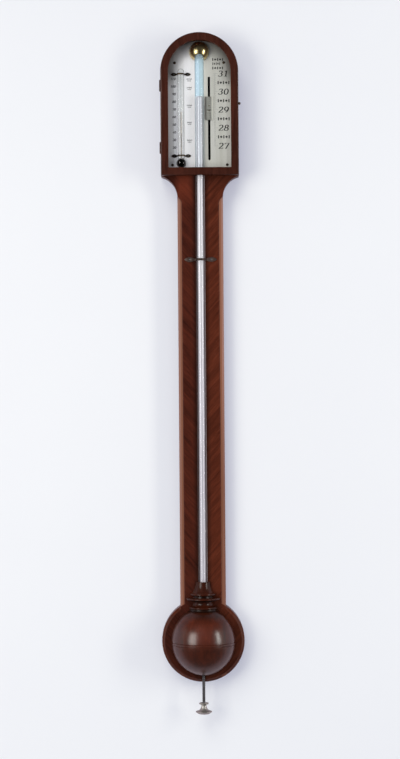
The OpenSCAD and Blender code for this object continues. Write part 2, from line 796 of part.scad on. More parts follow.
// Barometer tube, its mercury and the ball on its top
module tube_solid(r, top) {
    on_axis() {
        translate([0, 0, tube_foot_z]) cylinder(r = r, h = top - r - tube_foot_z);
        translate([0, 0, top - r]) sphere(r = r);
    }
}
module barometer_tube() color("#dfeaee", 0.4) place() difference() {
    wall = (tube_od - tube_bore) / 2;
    tube_solid(tube_r, tube_top_z);
    tube_solid(tube_bore / 2, tube_top_z - wall);
    on_axis() translate([0, 0, tube_foot_z - past]) cylinder(r = tube_bore / 2, h = 2 * past);
}
module mercury_column() color("#c9ccd2") place() turned() {
    r = tube_bore / 2 - run / 2;
    dome_r = r * 1.25;
    dome_foot_z = meniscus_z - dome_r + sqrt(pow(dome_r, 2) - pow(r, 2));
    difference() {
        column(0, r, tube_foot_z, meniscus_z);
        difference() {
            column(0, tube_r, meniscus_z - r, meniscus_z + past);
            translate([0, meniscus_z - dome_r]) circle(dome_r);
            column(0, tube_r, meniscus_z - 2 * r, dome_foot_z);
        }
    }
}
module tube_cap() color("#b9994f") place() difference() {
    union() {
        intersection() {
            translate([0, -cap_d, cap_z]) sphere(r = cap_r);
            front_of(plate_d);
        }
        upright() translate([0, cap_z, floor_d / 2 + room])
            cylinder(r = cap_r / 5, h = plate_d - floor_d / 2);
    }
    tube_solid(tube_r + seat, tube_top_z + seat);
}

// Cistern: a boxwood pot closed by a cap above and a leather bag below
module cistern_pot() color("#b58f56") place() turned()
    column(cistern_r - cistern_wall, cistern_r, pot_foot_z, pot_top_z);
module cistern_cap() color("#bf9a62") place() turned() {
    column(gland_r, cistern_r, pot_top_z, cistern_top_z);
    column(gland_r, cistern_r - cistern_wall - seat, pot_top_z - spigot_h, pot_top_z);
}
module tube_gland() color("#7a5a3c") place() turned()
    column(tube_r + seat, gland_r - seat, pot_top_z - spigot_h, cistern_top_z);
module cistern_base_ring() color("#a9834c") place() turned()
    column(bag_r + seat, cistern_r, ring_foot_z, ring_top_z);
module bag_outline(r, foot, corner, top) {
    column(0, r, foot + corner, top);
    column(0, r - corner, foot, top);
    translate([r - corner, foot + corner]) intersection() {
        circle(corner);
        translate([0, -corner]) square(corner);
    }
}
bag_corner = leather_t * 2.5;
module bag_hollow(top) {
    bag_outline(bag_bore_r, bag_foot_z + leather_t, bag_corner - leather_t, top);
}
module leather_bag() color("#8a6a48") place() turned() difference() {
    union() {
        bag_outline(bag_r, bag_foot_z, bag_corner, pot_foot_z);
        column(0, cistern_r, ring_top_z, pot_foot_z);
    }
    bag_hollow(pot_foot_z + past);
}
module cistern_mercury() color("#c4c7cd") place() turned() difference() {
    union() {
        bag_hollow(pot_foot_z);
        column(0, cistern_r - cistern_wall - seat, pot_foot_z, level_z);
    }
    column(0, tube_r + seat, tube_foot_z, level_z + past);
}

// Portable screw: pad, nut plate, screw and knob
module pressure_pad() color("#a9834c") place() turned() difference() {
    column(0, pad_r, pad_foot_z, pad_top_z);
    column(0, screw_r + run, pad_foot_z - past, screw_tip_z + run);
}
module nut_plate() color("#b08d45") place() on_axis() difference() {
    union() {
        translate([0, 0, nut_foot_z]) cylinder(r = nut_r, h = nut_t);
        translate([0, 0, boss_foot_z]) cylinder(r = boss_r, h = boss_h + nut_t);
    }
    translate([0, 0, boss_foot_z - past]) cylinder(r = screw_r + run, h = big);
    nut_screw_places() translate([0, 0, nut_foot_z - past]) cylinder(r = screw_hole_r + seat, h = big);
}
module nut_plate_screws() color("#8c7a5a") place() on_axis() nut_screw_places()
    translate([0, 0, nut_foot_z - 2 * nut_t]) cylinder(r = screw_hole_r, h = 3 * nut_t);
module portable_screw() color("#7f7d7a") place() turned()
    column(0, screw_r, screw_foot_z, screw_tip_z);
module screw_knob() color("#8f8672") place() turned() difference() {
    flange_h = knob_h * 0.13;
    flare_r = knob_r - knob_neck_r;
    rim_h = knob_h * 0.12;
    foot_h = knob_h * 0.12;
    foot_z = knob_top_z - knob_h;
    rim_z = foot_z + foot_h + rim_h;
    union() {
        column(0, flange_r, knob_top_z - flange_h, knob_top_z);
        column(0, knob_neck_r, foot_z + foot_h, knob_top_z - flange_h / 2);
        difference() {
            column(0, knob_r, rim_z - rim_h / 2, rim_z + flare_r);
            translate([knob_r, rim_z + flare_r]) circle(flare_r + room);
        }
        polygon([[0, foot_z], [knob_foot_r, foot_z], [knob_r, rim_z - rim_h], [knob_r, rim_z],
            [0, rim_z]]);
    }
    column(0, screw_r + seat, screw_foot_z - seat, knob_top_z + past);
}

// Turned cover: a ball under a ringed neck, flat where it lies on the case
module ball_profile(wall) {
    intersection() {
        translate([-cover_up_x, equator_z]) circle(cover_arc_up - wall);
        column(0, big, equator_z, equator_z + big);
    }
    intersection() {
        translate([-cover_low_x, equator_z]) circle(cover_arc_low - wall);
        column(0, big, equator_z - big, equator_z);
    }
}
module bead(r, z, h) {
    column(0, r - h / 2, z, z + h);
    translate([r - h / 2, z + h / 2]) circle(h / 2);
}
module neck_profile() {
    column(0, neck_r, neck_z - neck_r / 2, low_ring_z);
    bead(low_ring_r, low_ring_z, low_ring_h);
    difference() {
        column(0, waist_r + cove_h / 2, cove_z, mid_ring_z);
        translate([waist_r + cove_h / 2, cove_z + cove_h / 2]) circle(cove_h / 2);
    }
    bead(mid_ring_r, mid_ring_z, mid_ring_h);
    column(0, groove_r, groove_z, top_ring_z);
    bead(top_ring_r, top_ring_z, top_ring_h);
    difference() {
        column(0, bell_low_r, bell_z, bell_z + bell_h);
        translate([bell_top_r + bell_arc, bell_z + bell_h]) circle(bell_arc);
    }
}
module turned_line(z) {
    translate([cover_r, z]) rotate(45) square(line_d * sqrt(2), center = true);
}
module cistern_cover() color("#3f2422") place() difference() {
    intersection() {
        turned() difference() {
            union() {
                ball_profile(0);
                neck_profile();
            }
            ball_profile(cover_wall);
            column(0, groove_wall, equator_z, bell_z + bell_h + past);
            column(0, screw_r + room, cover_foot_z - past, equator_z);
            turned_line(equator_z);
            turned_line(equator_z - line_gap);
        }
        front_of(face_d);
    }
    upright() cover_screw_places() cylinder(r = cover_screw_r + seat, h = face_d + cover_wall);
}
module cover_screws() color("#8c7a5a") place() upright() cover_screw_places()
    back_screw(0, face_d + cover_wall, cover_screw_r, 2 * cover_screw_r);

// Hanging plate in the back of the head
module hanging_plate() color("#a8863f") place() upright() difference() {
    layer(0, hanger_t) hanger_outline(0);
    translate([0, hanger_z, -past]) cylinder(r = hanger_hole_r, h = hanger_t + 2 * past);
    hanger_screw_places() translate([0, 0, -seat])
        back_screw(0, hanger_t + past, screw_hole_r + seat, 2 * screw_hole_r + seat);
}
module hanging_screws() color("#8c7a5a") place() upright() hanger_screw_places()
    back_screw(0, hanger_pocket - past, screw_hole_r, 2 * screw_hole_r);

backboard();
trunk_veneer_left();
trunk_veneer_right();
head_rim();
door_frame();
door_glass();
glazing_bead();
upper_hinge_case_leaf();
upper_hinge_door_leaf();
upper_hinge_pin();
lower_hinge_case_leaf();
lower_hinge_door_leaf();
lower_hinge_pin();
hinge_case_screws();
hinge_door_screws();
door_pull();
thermometer_plate();
register_plate();
plate_screws();
vernier_cursor();
vernier_keeper();
vernier_rivets();
thermometer_tube();
thermometer_mercury();
upper_thermometer_clip();
lower_thermometer_clip();
thermometer_clip_pins();
tube_cap();
barometer_tube();
mercury_column();
trunk_tube_clip();
trunk_clip_pins();
cistern_pot();
cistern_cap();
tube_gland();
cistern_base_ring();
leather_bag();
cistern_mercury();
pressure_pad();
nut_plate();
nut_plate_screws();
portable_screw();
screw_knob();
cistern_cover();
cover_screws();
hanging_plate();
hanging_screws();
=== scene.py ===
from functools import cache
from math import acos, asin, atan2, cos, degrees, pi, radians, sin, sqrt, tau

import bmesh
import bpy
from bpy.props import FloatProperty, FloatVectorProperty, PointerProperty
from bpy.types import NodeSocket, Operator, Panel, PropertyGroup
from mathutils import Matrix, Vector


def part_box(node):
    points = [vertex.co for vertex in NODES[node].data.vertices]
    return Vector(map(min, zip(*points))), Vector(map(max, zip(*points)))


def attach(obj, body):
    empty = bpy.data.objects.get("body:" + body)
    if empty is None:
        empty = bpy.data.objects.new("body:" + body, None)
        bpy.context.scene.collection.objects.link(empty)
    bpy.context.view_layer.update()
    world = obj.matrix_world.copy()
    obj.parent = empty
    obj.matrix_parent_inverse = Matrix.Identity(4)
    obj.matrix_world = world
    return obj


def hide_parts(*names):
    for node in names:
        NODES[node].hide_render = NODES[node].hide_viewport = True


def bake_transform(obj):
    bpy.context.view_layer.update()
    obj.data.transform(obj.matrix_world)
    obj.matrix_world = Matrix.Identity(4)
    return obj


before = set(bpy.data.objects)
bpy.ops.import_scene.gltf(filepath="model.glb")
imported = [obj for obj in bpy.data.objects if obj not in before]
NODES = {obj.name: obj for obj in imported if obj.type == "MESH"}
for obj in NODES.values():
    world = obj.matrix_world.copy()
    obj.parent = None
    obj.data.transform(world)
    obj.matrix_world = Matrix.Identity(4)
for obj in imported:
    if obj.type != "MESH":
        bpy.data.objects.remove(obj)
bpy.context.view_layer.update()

bl_info = {
    "name": "Stick barometer",
    "version": (1, 0, 0),
    "blender": (4, 5, 0),
    "location": "View3D > Sidebar > Barometer",
    "description": "Finishes, turned pieces, engraved scales and wall of a stick barometer",
    "category": "Object",
}

MM = 0.001
# Where a box of colour ends on a side that nothing bounds, in metres
FAR = 1.0
# Edges that turn by fewer degrees than this are shaded smooth
SMOOTH = 35

# Places that the solids give, in metres: Y is negative in front of the wall
BOARD_LOW, BOARD_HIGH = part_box("backboard")
BASE_Z = BOARD_LOW[2] + BOARD_HIGH[0]
TUBE_LOW, TUBE_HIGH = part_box("barometer_tube")
TUBE_R = (TUBE_HIGH[0] - TUBE_LOW[0]) / 2
AXIS_Y = (TUBE_LOW[1] + TUBE_HIGH[1]) / 2
FACE_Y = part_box("trunk_veneer_left")[0][1]
PLATE_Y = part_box("register_plate")[0][1]

# The register, in millimetres above the base's centre
INCH = 25.4
LEVEL = 9.0
LOW_INCH, HIGH_INCH = 27, 31


def up(mm):
    """Height in the row frame of a point so many millimetres above the base's centre."""
    return BASE_Z + mm * MM


def inch_z(n):
    """Height of a mark of the register."""
    return up(LEVEL + INCH * n)


def linear(red, green, blue):
    """Scene-linear colour of a screen colour from 0 to 255."""
    def one(c):
        c /= 255
        return c / 12.92 if c <= 0.04045 else ((c + 0.055) / 1.055) ** 2.4
    return (one(red), one(green), one(blue))


def colour(label, words, rgb):
    return FloatVectorProperty(name=label, description=words, default=linear(*rgb),
                               subtype="COLOR", min=0, max=1)


def length(label, words, mm):
    return FloatProperty(name=label, description=words, default=mm * MM, unit="LENGTH",
                         min=0, precision=5)


def setting(label, words, value, unit="NONE", **limits):
    return FloatProperty(name=label, description=words, default=value, unit=unit, **limits)


class BarometerColours(PropertyGroup):
    """Colours of the barometer's finishes."""
    case_dark: colour("Case dark", "Dark figure of the mahogany case", (49, 17, 6))
    case_light: colour("Case light", "Light figure of the mahogany case", (95, 40, 19))
    door_dark: colour("Door dark", "Dark figure of the door's frame", (42, 18, 11))
    door_light: colour("Door light", "Light figure of the door's frame", (75, 37, 27))
    left_dark: colour("Left veneer dark", "Dark stripe of the left veneer", (42, 15, 9))
    left_light: colour("Left veneer light", "Light stripe of the left veneer", (88, 38, 24))
    right_dark: colour("Right veneer dark", "Dark stripe of the right veneer", (54, 20, 9))
    right_light: colour("Right veneer light", "Light stripe of the right veneer", (101, 46, 28))
    # Lighter colour of the left veneer at the shoulder
    shoulder: colour("Shoulder", "Faded veneer of the left shoulder", (132, 58, 36))
    cover_dark: colour("Cover dark", "Dark figure of the turned cover", (36, 11, 3))
    cover_light: colour("Cover light", "Light figure of the turned cover", (80, 30, 11))
    # Painted sheen on the cover's upper half
    cover_sheen: colour("Cover sheen", "Faded wood of the cover's upper half", (128, 60, 44))
    silver_left: colour("Left plate", "Clean silvering of the thermometer plate", (241, 238, 239))
    silver_right: colour("Right plate", "Clean silvering of the register", (214, 211, 202))
    tarnish: colour("Tarnish", "Stained silvering", (180, 177, 160))
    # Painted shadow of the door's frame on the plates
    border: colour("Border", "Silvering under the door's edge", (132, 128, 124))
    # Painted highlight on the cursor's bevelled edge, also the painted highlight under its notch
    bevel: colour("Bevel", "Rubbed edge of the vernier's cursor", (250, 247, 232))
    cursor: colour("Cursor", "Worn silvering of the vernier's cursor", (146, 145, 136))
    engraving: colour("Engraving", "Wax in the engraved marks", (20, 18, 18))
    brass: colour("Brass", "Polished brass", (222, 202, 150))
    brass_aged: colour("Aged brass", "Stained brass", (134, 108, 66))
    dark_metal: colour("Dark metal", "Darkened brass of the clips", (70, 62, 58))
    steel: colour("Steel", "Steel of the portable screw", (134, 133, 137))
    knob: colour("Knob", "Dull brass of the knob", (212, 208, 203))
    clip: colour("Trunk clip", "Worn brass of the trunk clip", (128, 108, 102))
    # Painted dark reflection: the bulb's mercury is coloured dark
    bulb: colour("Bulb", "Dark mirror of the mercury in the bulb", (60, 56, 56))
    thread: colour("Thread", "Mercury in the thermometer's bore", (150, 140, 134))
    hinge: colour("Hinge", "Dirty brass of the hinges", (74, 46, 34))
    # Lighter wood along the edges, partly rubbed and partly painted sheen, and the painted sheen on
    # the chamfers' inner half
    rubbed: colour("Rubbed wood", "Wood where the polish is rubbed off an edge", (134, 84, 60))
    # The next two are painted sheen on the chamfers: pale on their outer half, browner lower down
    rubbed_brown: colour("Brown rubbed wood", "Lower half of the chamfers", (112, 64, 40))
    rubbed_pale: colour("Pale rubbed wood", "Outer half of the rubbed chamfers", (152, 110, 94))
    mercury: colour("Mercury", "Mirror of the mercury", (231, 230, 235))
    mercury_low: colour("Low mercury", "Mirror of the mercury near the cistern", (213, 210, 219))
    glass: colour("Glass", "Tint of the tube's empty top", (218, 240, 250))
    filled: colour("Filled glass", "Tint of the glass round the mercury in the head",
                   (240, 248, 255))
    # Edge, lit edge, head edge, lit head edge and stem edge are painted reflections along the sides
    # of the glass, lighter on the right
    edge: colour("Glass edge", "Dust along the sides of the old glass", (108, 98, 100))
    edge_lit: colour("Lit glass edge", "Dust along the side of the glass next the window",
                     (194, 180, 183))
    haze: colour("Haze", "Bloom inside the empty top of the tube", (206, 234, 250))
    head_edge: colour("Head edge", "Side of the tube in the head", (100, 126, 134))
    head_edge_lit: colour("Lit head edge", "Lit side of the tube in the head", (152, 172, 178))
    stem_edge: colour("Stem edge", "Sides of the thermometer's stem", (118, 114, 118))
    shaded: colour("Shaded silver", "Silvering in the corner under the arch", (84, 78, 72))
    boxwood: colour("Boxwood", "Turned boxwood of the cistern", (190, 150, 94))
    # Painted shade in the grooves and under the rings of the cover, and beside the tube, under the
    # head and near the cover
    grime: colour("Grime", "Dark wax in the grooves of the turned cover", (20, 10, 6))
    leather: colour("Leather", "Kid leather of the cistern's bag", (146, 112, 76))
    wall: colour("Wall", "Paint of the wall behind", (203, 203, 190))
    wall_reflected: colour("Reflected wall", "Wall as the polish mirrors it", (188, 174, 182))


class BarometerSizes(PropertyGroup):
    """Sizes of the details that the solids leave out."""
    mark: length("Mark", "Thickness of the wax that stands on the engraved lines", 0.03)
    line: length("Line", "Width of an engraved line", 0.16)
    numeral: length("Numeral", "Height of the inch numbers", 8.2)
    degree: length("Degree", "Height of the thermometer's numbers", 3.3)
    pitch: length("Pitch", "Pitch of the portable screw", 1.25)
    edge: length("Edge", "Rounding of the case's edges", 0.5)
    slot: length("Slot", "Width of a screw's slot", 0.7)


class BarometerStage(PropertyGroup):
    """Wall, light and camera."""
    distance: setting("Distance", "Camera to the plates", 2.9, "LENGTH")
    frame_height: setting("Frame height", "Height seen at the plates", 1.0668, "LENGTH")
    across: setting("Across", "Camera to the right of the tube", -0.0021, "LENGTH")
    height: setting("Height", "Camera above the base's centre", 0.3667, "LENGTH")
    roll: setting("Roll", "Lean of the camera", radians(0.43), "ROTATION")
    left_power: setting("Left light", "Power of the left box", 24.5, "POWER")
    right_power: setting("Right light", "Power of the right box", 17, "POWER")
    side_power: setting("Side light", "Power of each side panel", 2, "POWER")
    wall_glow: setting("Wall glow", "Paleness added to the wall as seen", 0.235, min=0)
    sky_strength: setting("Sky", "Strength of the light from above", 1.0, min=0)
    ambient: setting("Ambient", "Strength of the room's light", 0.42, min=0)


def colours():
    return bpy.context.scene.barometer_colours


def sizes():
    return bpy.context.scene.barometer_sizes


def stage():
    return bpy.context.scene.barometer_stage


# Meshes

def oval(x, z, wide, tall, start, end, count=20):
    """Points of a part of an ellipse, angles in degrees."""
    turns = [radians(start + (end - start) * i / count) for i in range(count + 1)]
    return [(x + wide * cos(t), z + tall * sin(t)) for t in turns]


def arc(x, z, r, start, end, count):
    """Points of an arc in a profile, angles in degrees from the radius axis."""
    return oval(x, z, r, r, start, end, count)


def dome(r, z):
    """Profile of a round end that closes at a height."""
    return arc(0, z - r, r, 0, 90, 16)


def bead(r, z, h):
    """Half round of a turned ring that reaches to r."""
    return arc(r - h / 2, z + h / 2, h / 2, -90, 90, 10)


def wire(bm, points, x=0, y=AXIS_Y, closed=False):
    """Adds the outline of a profile of (radius, height) points at x, y."""
    verts = [bm.verts.new((x + max(r, 0), y, z)) for r, z in points]
    run = verts + verts[:1] if closed else verts
    return verts + [bm.edges.new(pair) for pair in zip(run, run[1:])]


def lathe(profile, steps, x=0, y=AXIS_Y, closed=False):
    """Spins a profile round an upright axis at x, y."""
    bm = bmesh.new()
    bmesh.ops.spin(bm, geom=wire(bm, profile, x, y, closed), cent=(x, y, 0), axis=(0, 0, 1),
                   angle=tau, steps=steps, use_merge=True)
    bmesh.ops.remove_doubles(bm, verts=bm.verts, dist=1e-6)
    bmesh.ops.dissolve_degenerate(bm, edges=bm.edges, dist=1e-7)
    bmesh.ops.recalc_face_normals(bm, faces=bm.faces)
    return bm


def span(low, high):
    """Middle and size of a box between two corners."""
    return [(a + b) / 2 for a, b in zip(low, high)], [b - a for a, b in zip(low, high)]


def block(bm, low, high):
    """Adds a box between two corners."""
    middle, size = span(low, high)
    place = Matrix.Translation(middle) @ Matrix.Diagonal((*size, 1))
    return bmesh.ops.create_cube(bm, size=1, matrix=place)["verts"]


def cut(bm, point, normal):
    """Cuts away what lies beyond a plane and closes the cut."""
    geom = bm.verts[:] + bm.edges[:] + bm.faces[:]
    done = bmesh.ops.bisect_plane(bm, geom=geom, dist=1e-7, plane_co=point, plane_no=normal,
                                  clear_outer=True)
    rim = [e for e in done["geom_cut"] if isinstance(e, bmesh.types.BMEdge)]
    bmesh.ops.edgenet_fill(bm, edges=rim)
    bmesh.ops.recalc_face_normals(bm, faces=bm.faces)


def mesh_of(name, bm):
    """Turns a bmesh into a mesh and frees it."""
    mesh = bpy.data.meshes.new(name)
    bm.to_mesh(mesh)
    bm.free()
    return mesh


def linked(name, data):
    """A new object in the scene."""
    obj = bpy.data.objects.new(name, data)
    bpy.context.scene.collection.objects.link(obj)
    return obj


def carve(bm, tool):
    """Cuts one shape out of another and gives the rest."""
    pair = [linked(name, mesh_of(name, shape)) for name, shape in (("stock", bm), ("tool", tool))]
    taken = pair[0].modifiers.new("taken", "BOOLEAN")
    taken.operation = "DIFFERENCE"
    taken.solver = "EXACT"
    taken.object = pair[1]
    seen = pair[0].evaluated_get(bpy.context.evaluated_depsgraph_get())
    mesh = bpy.data.meshes.new_from_object(seen)
    rest = bmesh.new()
    rest.from_mesh(mesh)
    bpy.data.meshes.remove(mesh)
    for obj in pair:
        mesh = obj.data
        bpy.data.objects.remove(obj)
        bpy.data.meshes.remove(mesh)
    bmesh.ops.remove_doubles(rest, verts=rest.verts, dist=1e-7)
    bmesh.ops.recalc_face_normals(rest, faces=rest.faces)
    return rest


def quarters(name):
    """Corners of the boxes round a solid's four bodies, one in each quarter of its front."""
    obj = NODES[name]
    middle, _ = span(*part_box(name))
    bodies = {}
    for v in obj.data.vertices:
        place = obj.matrix_world @ v.co
        bodies.setdefault((place.x > middle[0], place.z > middle[2]), []).append(place)
    return [[[pick(axis) for axis in zip(*body)] for pick in (min, max)]
            for body in bodies.values()]


def piece(name, bm, body, material, replaces=(), smooth=SMOOTH):
    """Makes a finished piece of a bmesh that rides on a body, if one is named."""
    mesh = mesh_of(name, bm)
    if smooth:
        mesh.shade_smooth()
        mesh.set_sharp_from_angle(angle=radians(smooth))
    mesh.materials.append(material)
    obj = linked(name, mesh)
    if body:
        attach(obj, body)
    if replaces:
        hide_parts(*replaces)
    return obj


def dress(names, material, edge=0.0):
    """Gives solids their finish, smooth round faces and, with a width, soft edges."""
    for name in names:
        obj = NODES[name]
        obj.data.materials.clear()
        obj.data.materials.append(material)
        obj.data.shade_smooth()
        weld = obj.modifiers.new("weld", "WELD")
        weld.merge_threshold = 1e-5
        if edge:
            bevel = obj.modifiers.new("edge", "BEVEL")
            bevel.width = edge
            bevel.segments = 2
            bevel.limit_method = "ANGLE"
            bevel.angle_limit = radians(40)
            bevel.use_clamp_overlap = True
        split = obj.modifiers.new("split", "EDGE_SPLIT")
        split.split_angle = radians(SMOOTH)
        split.use_edge_sharp = False


# Nodes

def fill(made, inputs):
    """Gives a node's inputs their values, or links where a value is a socket."""
    for key, value in inputs.items():
        socket = made.inputs[key]
        if isinstance(value, NodeSocket):
            made.id_data.links.new(value, socket)
        elif socket.type == "RGBA":
            socket.default_value = (*value, 1)
        else:
            socket.default_value = value


def node(tree, kind, inputs=None, **settings):
    """Adds a shader node with its settings and inputs."""
    made = tree.nodes.new("ShaderNode" + kind)
    for key, value in settings.items():
        setattr(made, key, value)
    fill(made, inputs or {})
    return made


def output(tree, kind, inputs=None, out=0, **settings):
    """Adds a shader node and gives one of its outputs."""
    return node(tree, kind, inputs, **settings).outputs[out]


def tree_of(*values):
    """The tree of the sockets among some values."""
    return next(v.id_data for v in values if isinstance(v, NodeSocket))


def spread(source, low, high, to_low=0.0, to_high=1.0):
    """Maps a value's range to another."""
    return output(source.id_data, "MapRange", {"Value": source, "From Min": low, "From Max": high,
                                               "To Min": to_low, "To Max": to_high})


def blend(factor, a, b):
    """Mixes two colours: each is a socket or a colour."""
    return output(tree_of(factor, a, b), "Mix", {0: factor, 6: a, 7: b}, 2, data_type="RGBA")


def mix(factor, a, b):
    """Mixes two shaders."""
    return output(a.id_data, "MixShader", {0: factor, 1: a, 2: b})


def maths(operation, a, b):
    return output(tree_of(a, b), "Math", {0: a, 1: b}, operation=operation)


def times(a, b):
    return maths("MULTIPLY", a, b)


def noise(vector, scale, detail, rough, twist=0.0):
    return output(vector.id_data, "TexNoise", {"Vector": vector, "Scale": scale, "Detail": detail,
                                               "Roughness": rough, "Distortion": twist}, "Fac")


def spot(tree, place=(0, 0, 0), turn=(0, 0, 0), size=(1, 1, 1)):
    """Object coordinates, centred, turned and counted in the given sizes."""
    source = output(tree, "TexCoord", out="Object")
    return output(tree, "Mapping", {"Vector": source, "Location": place, "Rotation": turn,
                                    "Scale": size}, vector_type="TEXTURE")


def bump(height, strength, reach):
    return output(height.id_data, "Bump", {"Height": height, "Strength": strength,
                                           "Distance": reach})


def mirrored(rays):
    """Mask of the rays that a polished surface throws back."""
    return maths("SUBTRACT", rays["Is Glossy Ray"], rays["Is Transmission Ray"])


def band(low, high, left=-FAR, right=FAR, back=FAR):
    """Corners of a box between two heights, unbounded elsewhere if not told."""
    return (left, -FAR, low), (right, back, high)


def zone(tree, low, high, soft):
    """Mask of a box between two corners, in object coordinates."""
    middle, size = span(low, high)
    inside = spot(tree, middle, size=[s / 2 for s in size])
    away = output(tree, "VectorMath", {0: inside}, "Vector", operation="ABSOLUTE")
    x, y, z = node(tree, "SeparateXYZ", {0: away}).outputs
    far = maths("MAXIMUM", x, maths("MAXIMUM", y, z))
    return spread(far, 1 + soft, 1 - soft)


def zoned(tree, shade, zones):
    """Tints boxes of a colour: each has its corners, colour, strength and softness."""
    for low, high, tint, strength, soft in zones:
        mask = times(zone(tree, low, high, soft), strength)
        shade = blend(mask, shade, tint)
    return shade


def arch_shade(tree, centre, inner, outer):
    """Mask that grows towards an arch round a centre height."""
    flat = spot(tree, (0, 0, centre), size=(1, 1000, 1))
    away = output(tree, "VectorMath", {0: flat}, "Value", operation="LENGTH")
    above = zone(tree, *band(centre - 0.01, centre + 0.09), 0.2)
    return times(spread(away, inner, outer), above)


def worn_edges(tree, reach):
    """Mask of the edges, to the given reach on either side."""
    eased = output(tree, "Bevel", {"Radius": reach}, samples=4)
    plain = output(tree, "NewGeometry", out="Normal")
    same = output(tree, "VectorMath", {0: eased, 1: plain}, "Value", operation="DOT_PRODUCT")
    return spread(same, 0.99, 0.88)


def new_group(name, inputs):
    """A node group of a finish, which gives its colour, roughness and height."""
    tree = bpy.data.node_groups.new(name, "ShaderNodeTree")
    gives = {"Color": "Color", "Roughness": "Float", "Height": "Float"}
    for side, sockets in (("INPUT", inputs), ("OUTPUT", gives)):
        for label, kind in sockets.items():
            tree.interface.new_socket(label, in_out=side, socket_type="NodeSocket" + kind)
    return tree, tree.nodes.new("NodeGroupInput").outputs, tree.nodes.new("NodeGroupOutput")


@cache
def grain_group():
    """Figure, streaks and pores of polished wood, along the vector's Z."""
    tree, given, out = new_group("figured_grain", {"Vector": "Vector", "Dark": "Color",
                                                   "Light": "Color", "Pores": "Float"})
    vector = given["Vector"]
    figure = spread(noise(vector, 1.0, 4, 0.55, 0.8), 0.3, 0.7)
    streak = spread(noise(vector, 6.0, 4, 0.6, 0.3), 0.3, 0.7)
    pores = spread(noise(vector, 30.0, 2, 0.5), 0.56, 0.7)
    both = maths("ADD", times(figure, 0.6), times(streak, 0.4))
    shade = blend(both, given["Dark"], given["Light"])
    pitted = times(pores, given["Pores"])
    fill(out, {
        "Color": blend(pitted, shade, blend(0.75, shade, (0, 0, 0))),
        "Roughness": spread(streak, 0, 1, 0.2, 0.28),
        "Height": maths("SUBTRACT", times(streak, 0.3), pitted)})
    return tree


@cache
def patina_group():
    """Blotches, fine spots and stains of old metal."""
    tree, given, out = new_group("patina", {
        "Vector": "Vector", "Clean": "Color", "Stained": "Color", "Amount": "Float",
        "Size": "Float", "Polish": "Float"})
    vector = given["Vector"]
    spots = spread(noise(vector, 900.0, 3, 0.6), 0.55, 0.75)
    stain = spread(noise(vector, given["Size"], 5, 0.6), 0.35, 0.72)
    both = maths("MAXIMUM", stain, times(spots, 0.6))
    mask = times(both, given["Amount"])
    fill(out, {
        "Color": blend(mask, given["Clean"], given["Stained"]),
        "Roughness": maths("ADD", given["Polish"], times(mask, 0.25)),
        "Height": times(spots, 0.5)})
    return tree


# Materials

def blank(name):
    """A new material with a Principled shader: the material, its tree, shader and output."""
    material = bpy.data.materials.new(name)
    material.use_nodes = True
    tree = material.node_tree
    tree.nodes.clear()
    shader = node(tree, "BsdfPrincipled")
    out = node(tree, "OutputMaterial", {"Surface": shader.outputs[0]})
    return material, tree, shader, out


def wood(name, dark, light, turn=0.0, size=(11, 11, 130), place=(0, 0, 0), polish=0.35,
         pores=0.6, polish_rough=0.14, coat_ior=1.5, wear_and_sheen=0.25, zones=(), dull=None):
    """Polished wood with its grain along Z, or leaning by turn degrees to the right.

    Zones are boxes of colour, and dull is a box where the polish is thin."""
    material, tree, shader, _ = blank(name)
    vector = spot(tree, place, (0, radians(turn), 0), [s * MM for s in size])
    grain = node(tree, "Group", {"Vector": vector, "Dark": dark, "Light": light, "Pores": pores},
                 node_tree=grain_group()).outputs
    # Lighter along the edges, unevenly: partly rubbed wood, partly painted sheen
    uneven = noise(spot(tree, size=(MM, MM, MM)), 0.12, 4, 0.6)
    strength = times(spread(uneven, 0.3, 0.7), wear_and_sheen)
    mask = times(worn_edges(tree, 1.1 * MM), strength)
    coat = polish
    if dull:
        low, high, loss, soft = dull
        coat = spread(zone(tree, low, high, soft), 0, 1, polish, polish * (1 - loss))
    fill(shader, {
        "Base Color": blend(mask, zoned(tree, grain["Color"], zones), colours().rubbed),
        "Roughness": grain["Roughness"], "Specular IOR Level": 0.15,
        "Normal": bump(grain["Height"], 0.12, 0.0002),
        "Coat Weight": coat, "Coat Roughness": polish_rough, "Coat IOR": coat_ior})
    return material


def metal(name, clean, stained, amount, size, polish, metallic=1.0, stretch=1.0, zones=(),
          relief=0.08, arch=None):
    """Old metal with stains, its scratches drawn out along Z, shaded under an arch if given."""
    material, tree, shader, _ = blank(name)
    patina = node(tree, "Group", {
        "Vector": spot(tree, size=(1, 1, stretch)), "Clean": clean, "Stained": stained,
        "Amount": amount, "Size": size, "Polish": polish}, node_tree=patina_group()).outputs
    shade = zoned(tree, patina["Color"], zones)
    if arch:
        shade = blend(arch_shade(tree, *arch), shade, colours().shaded)
    fill(shader, {"Base Color": shade, "Roughness": patina["Roughness"],
                  "Normal": bump(patina["Height"], relief, 0.0001), "Metallic": metallic})
    return material


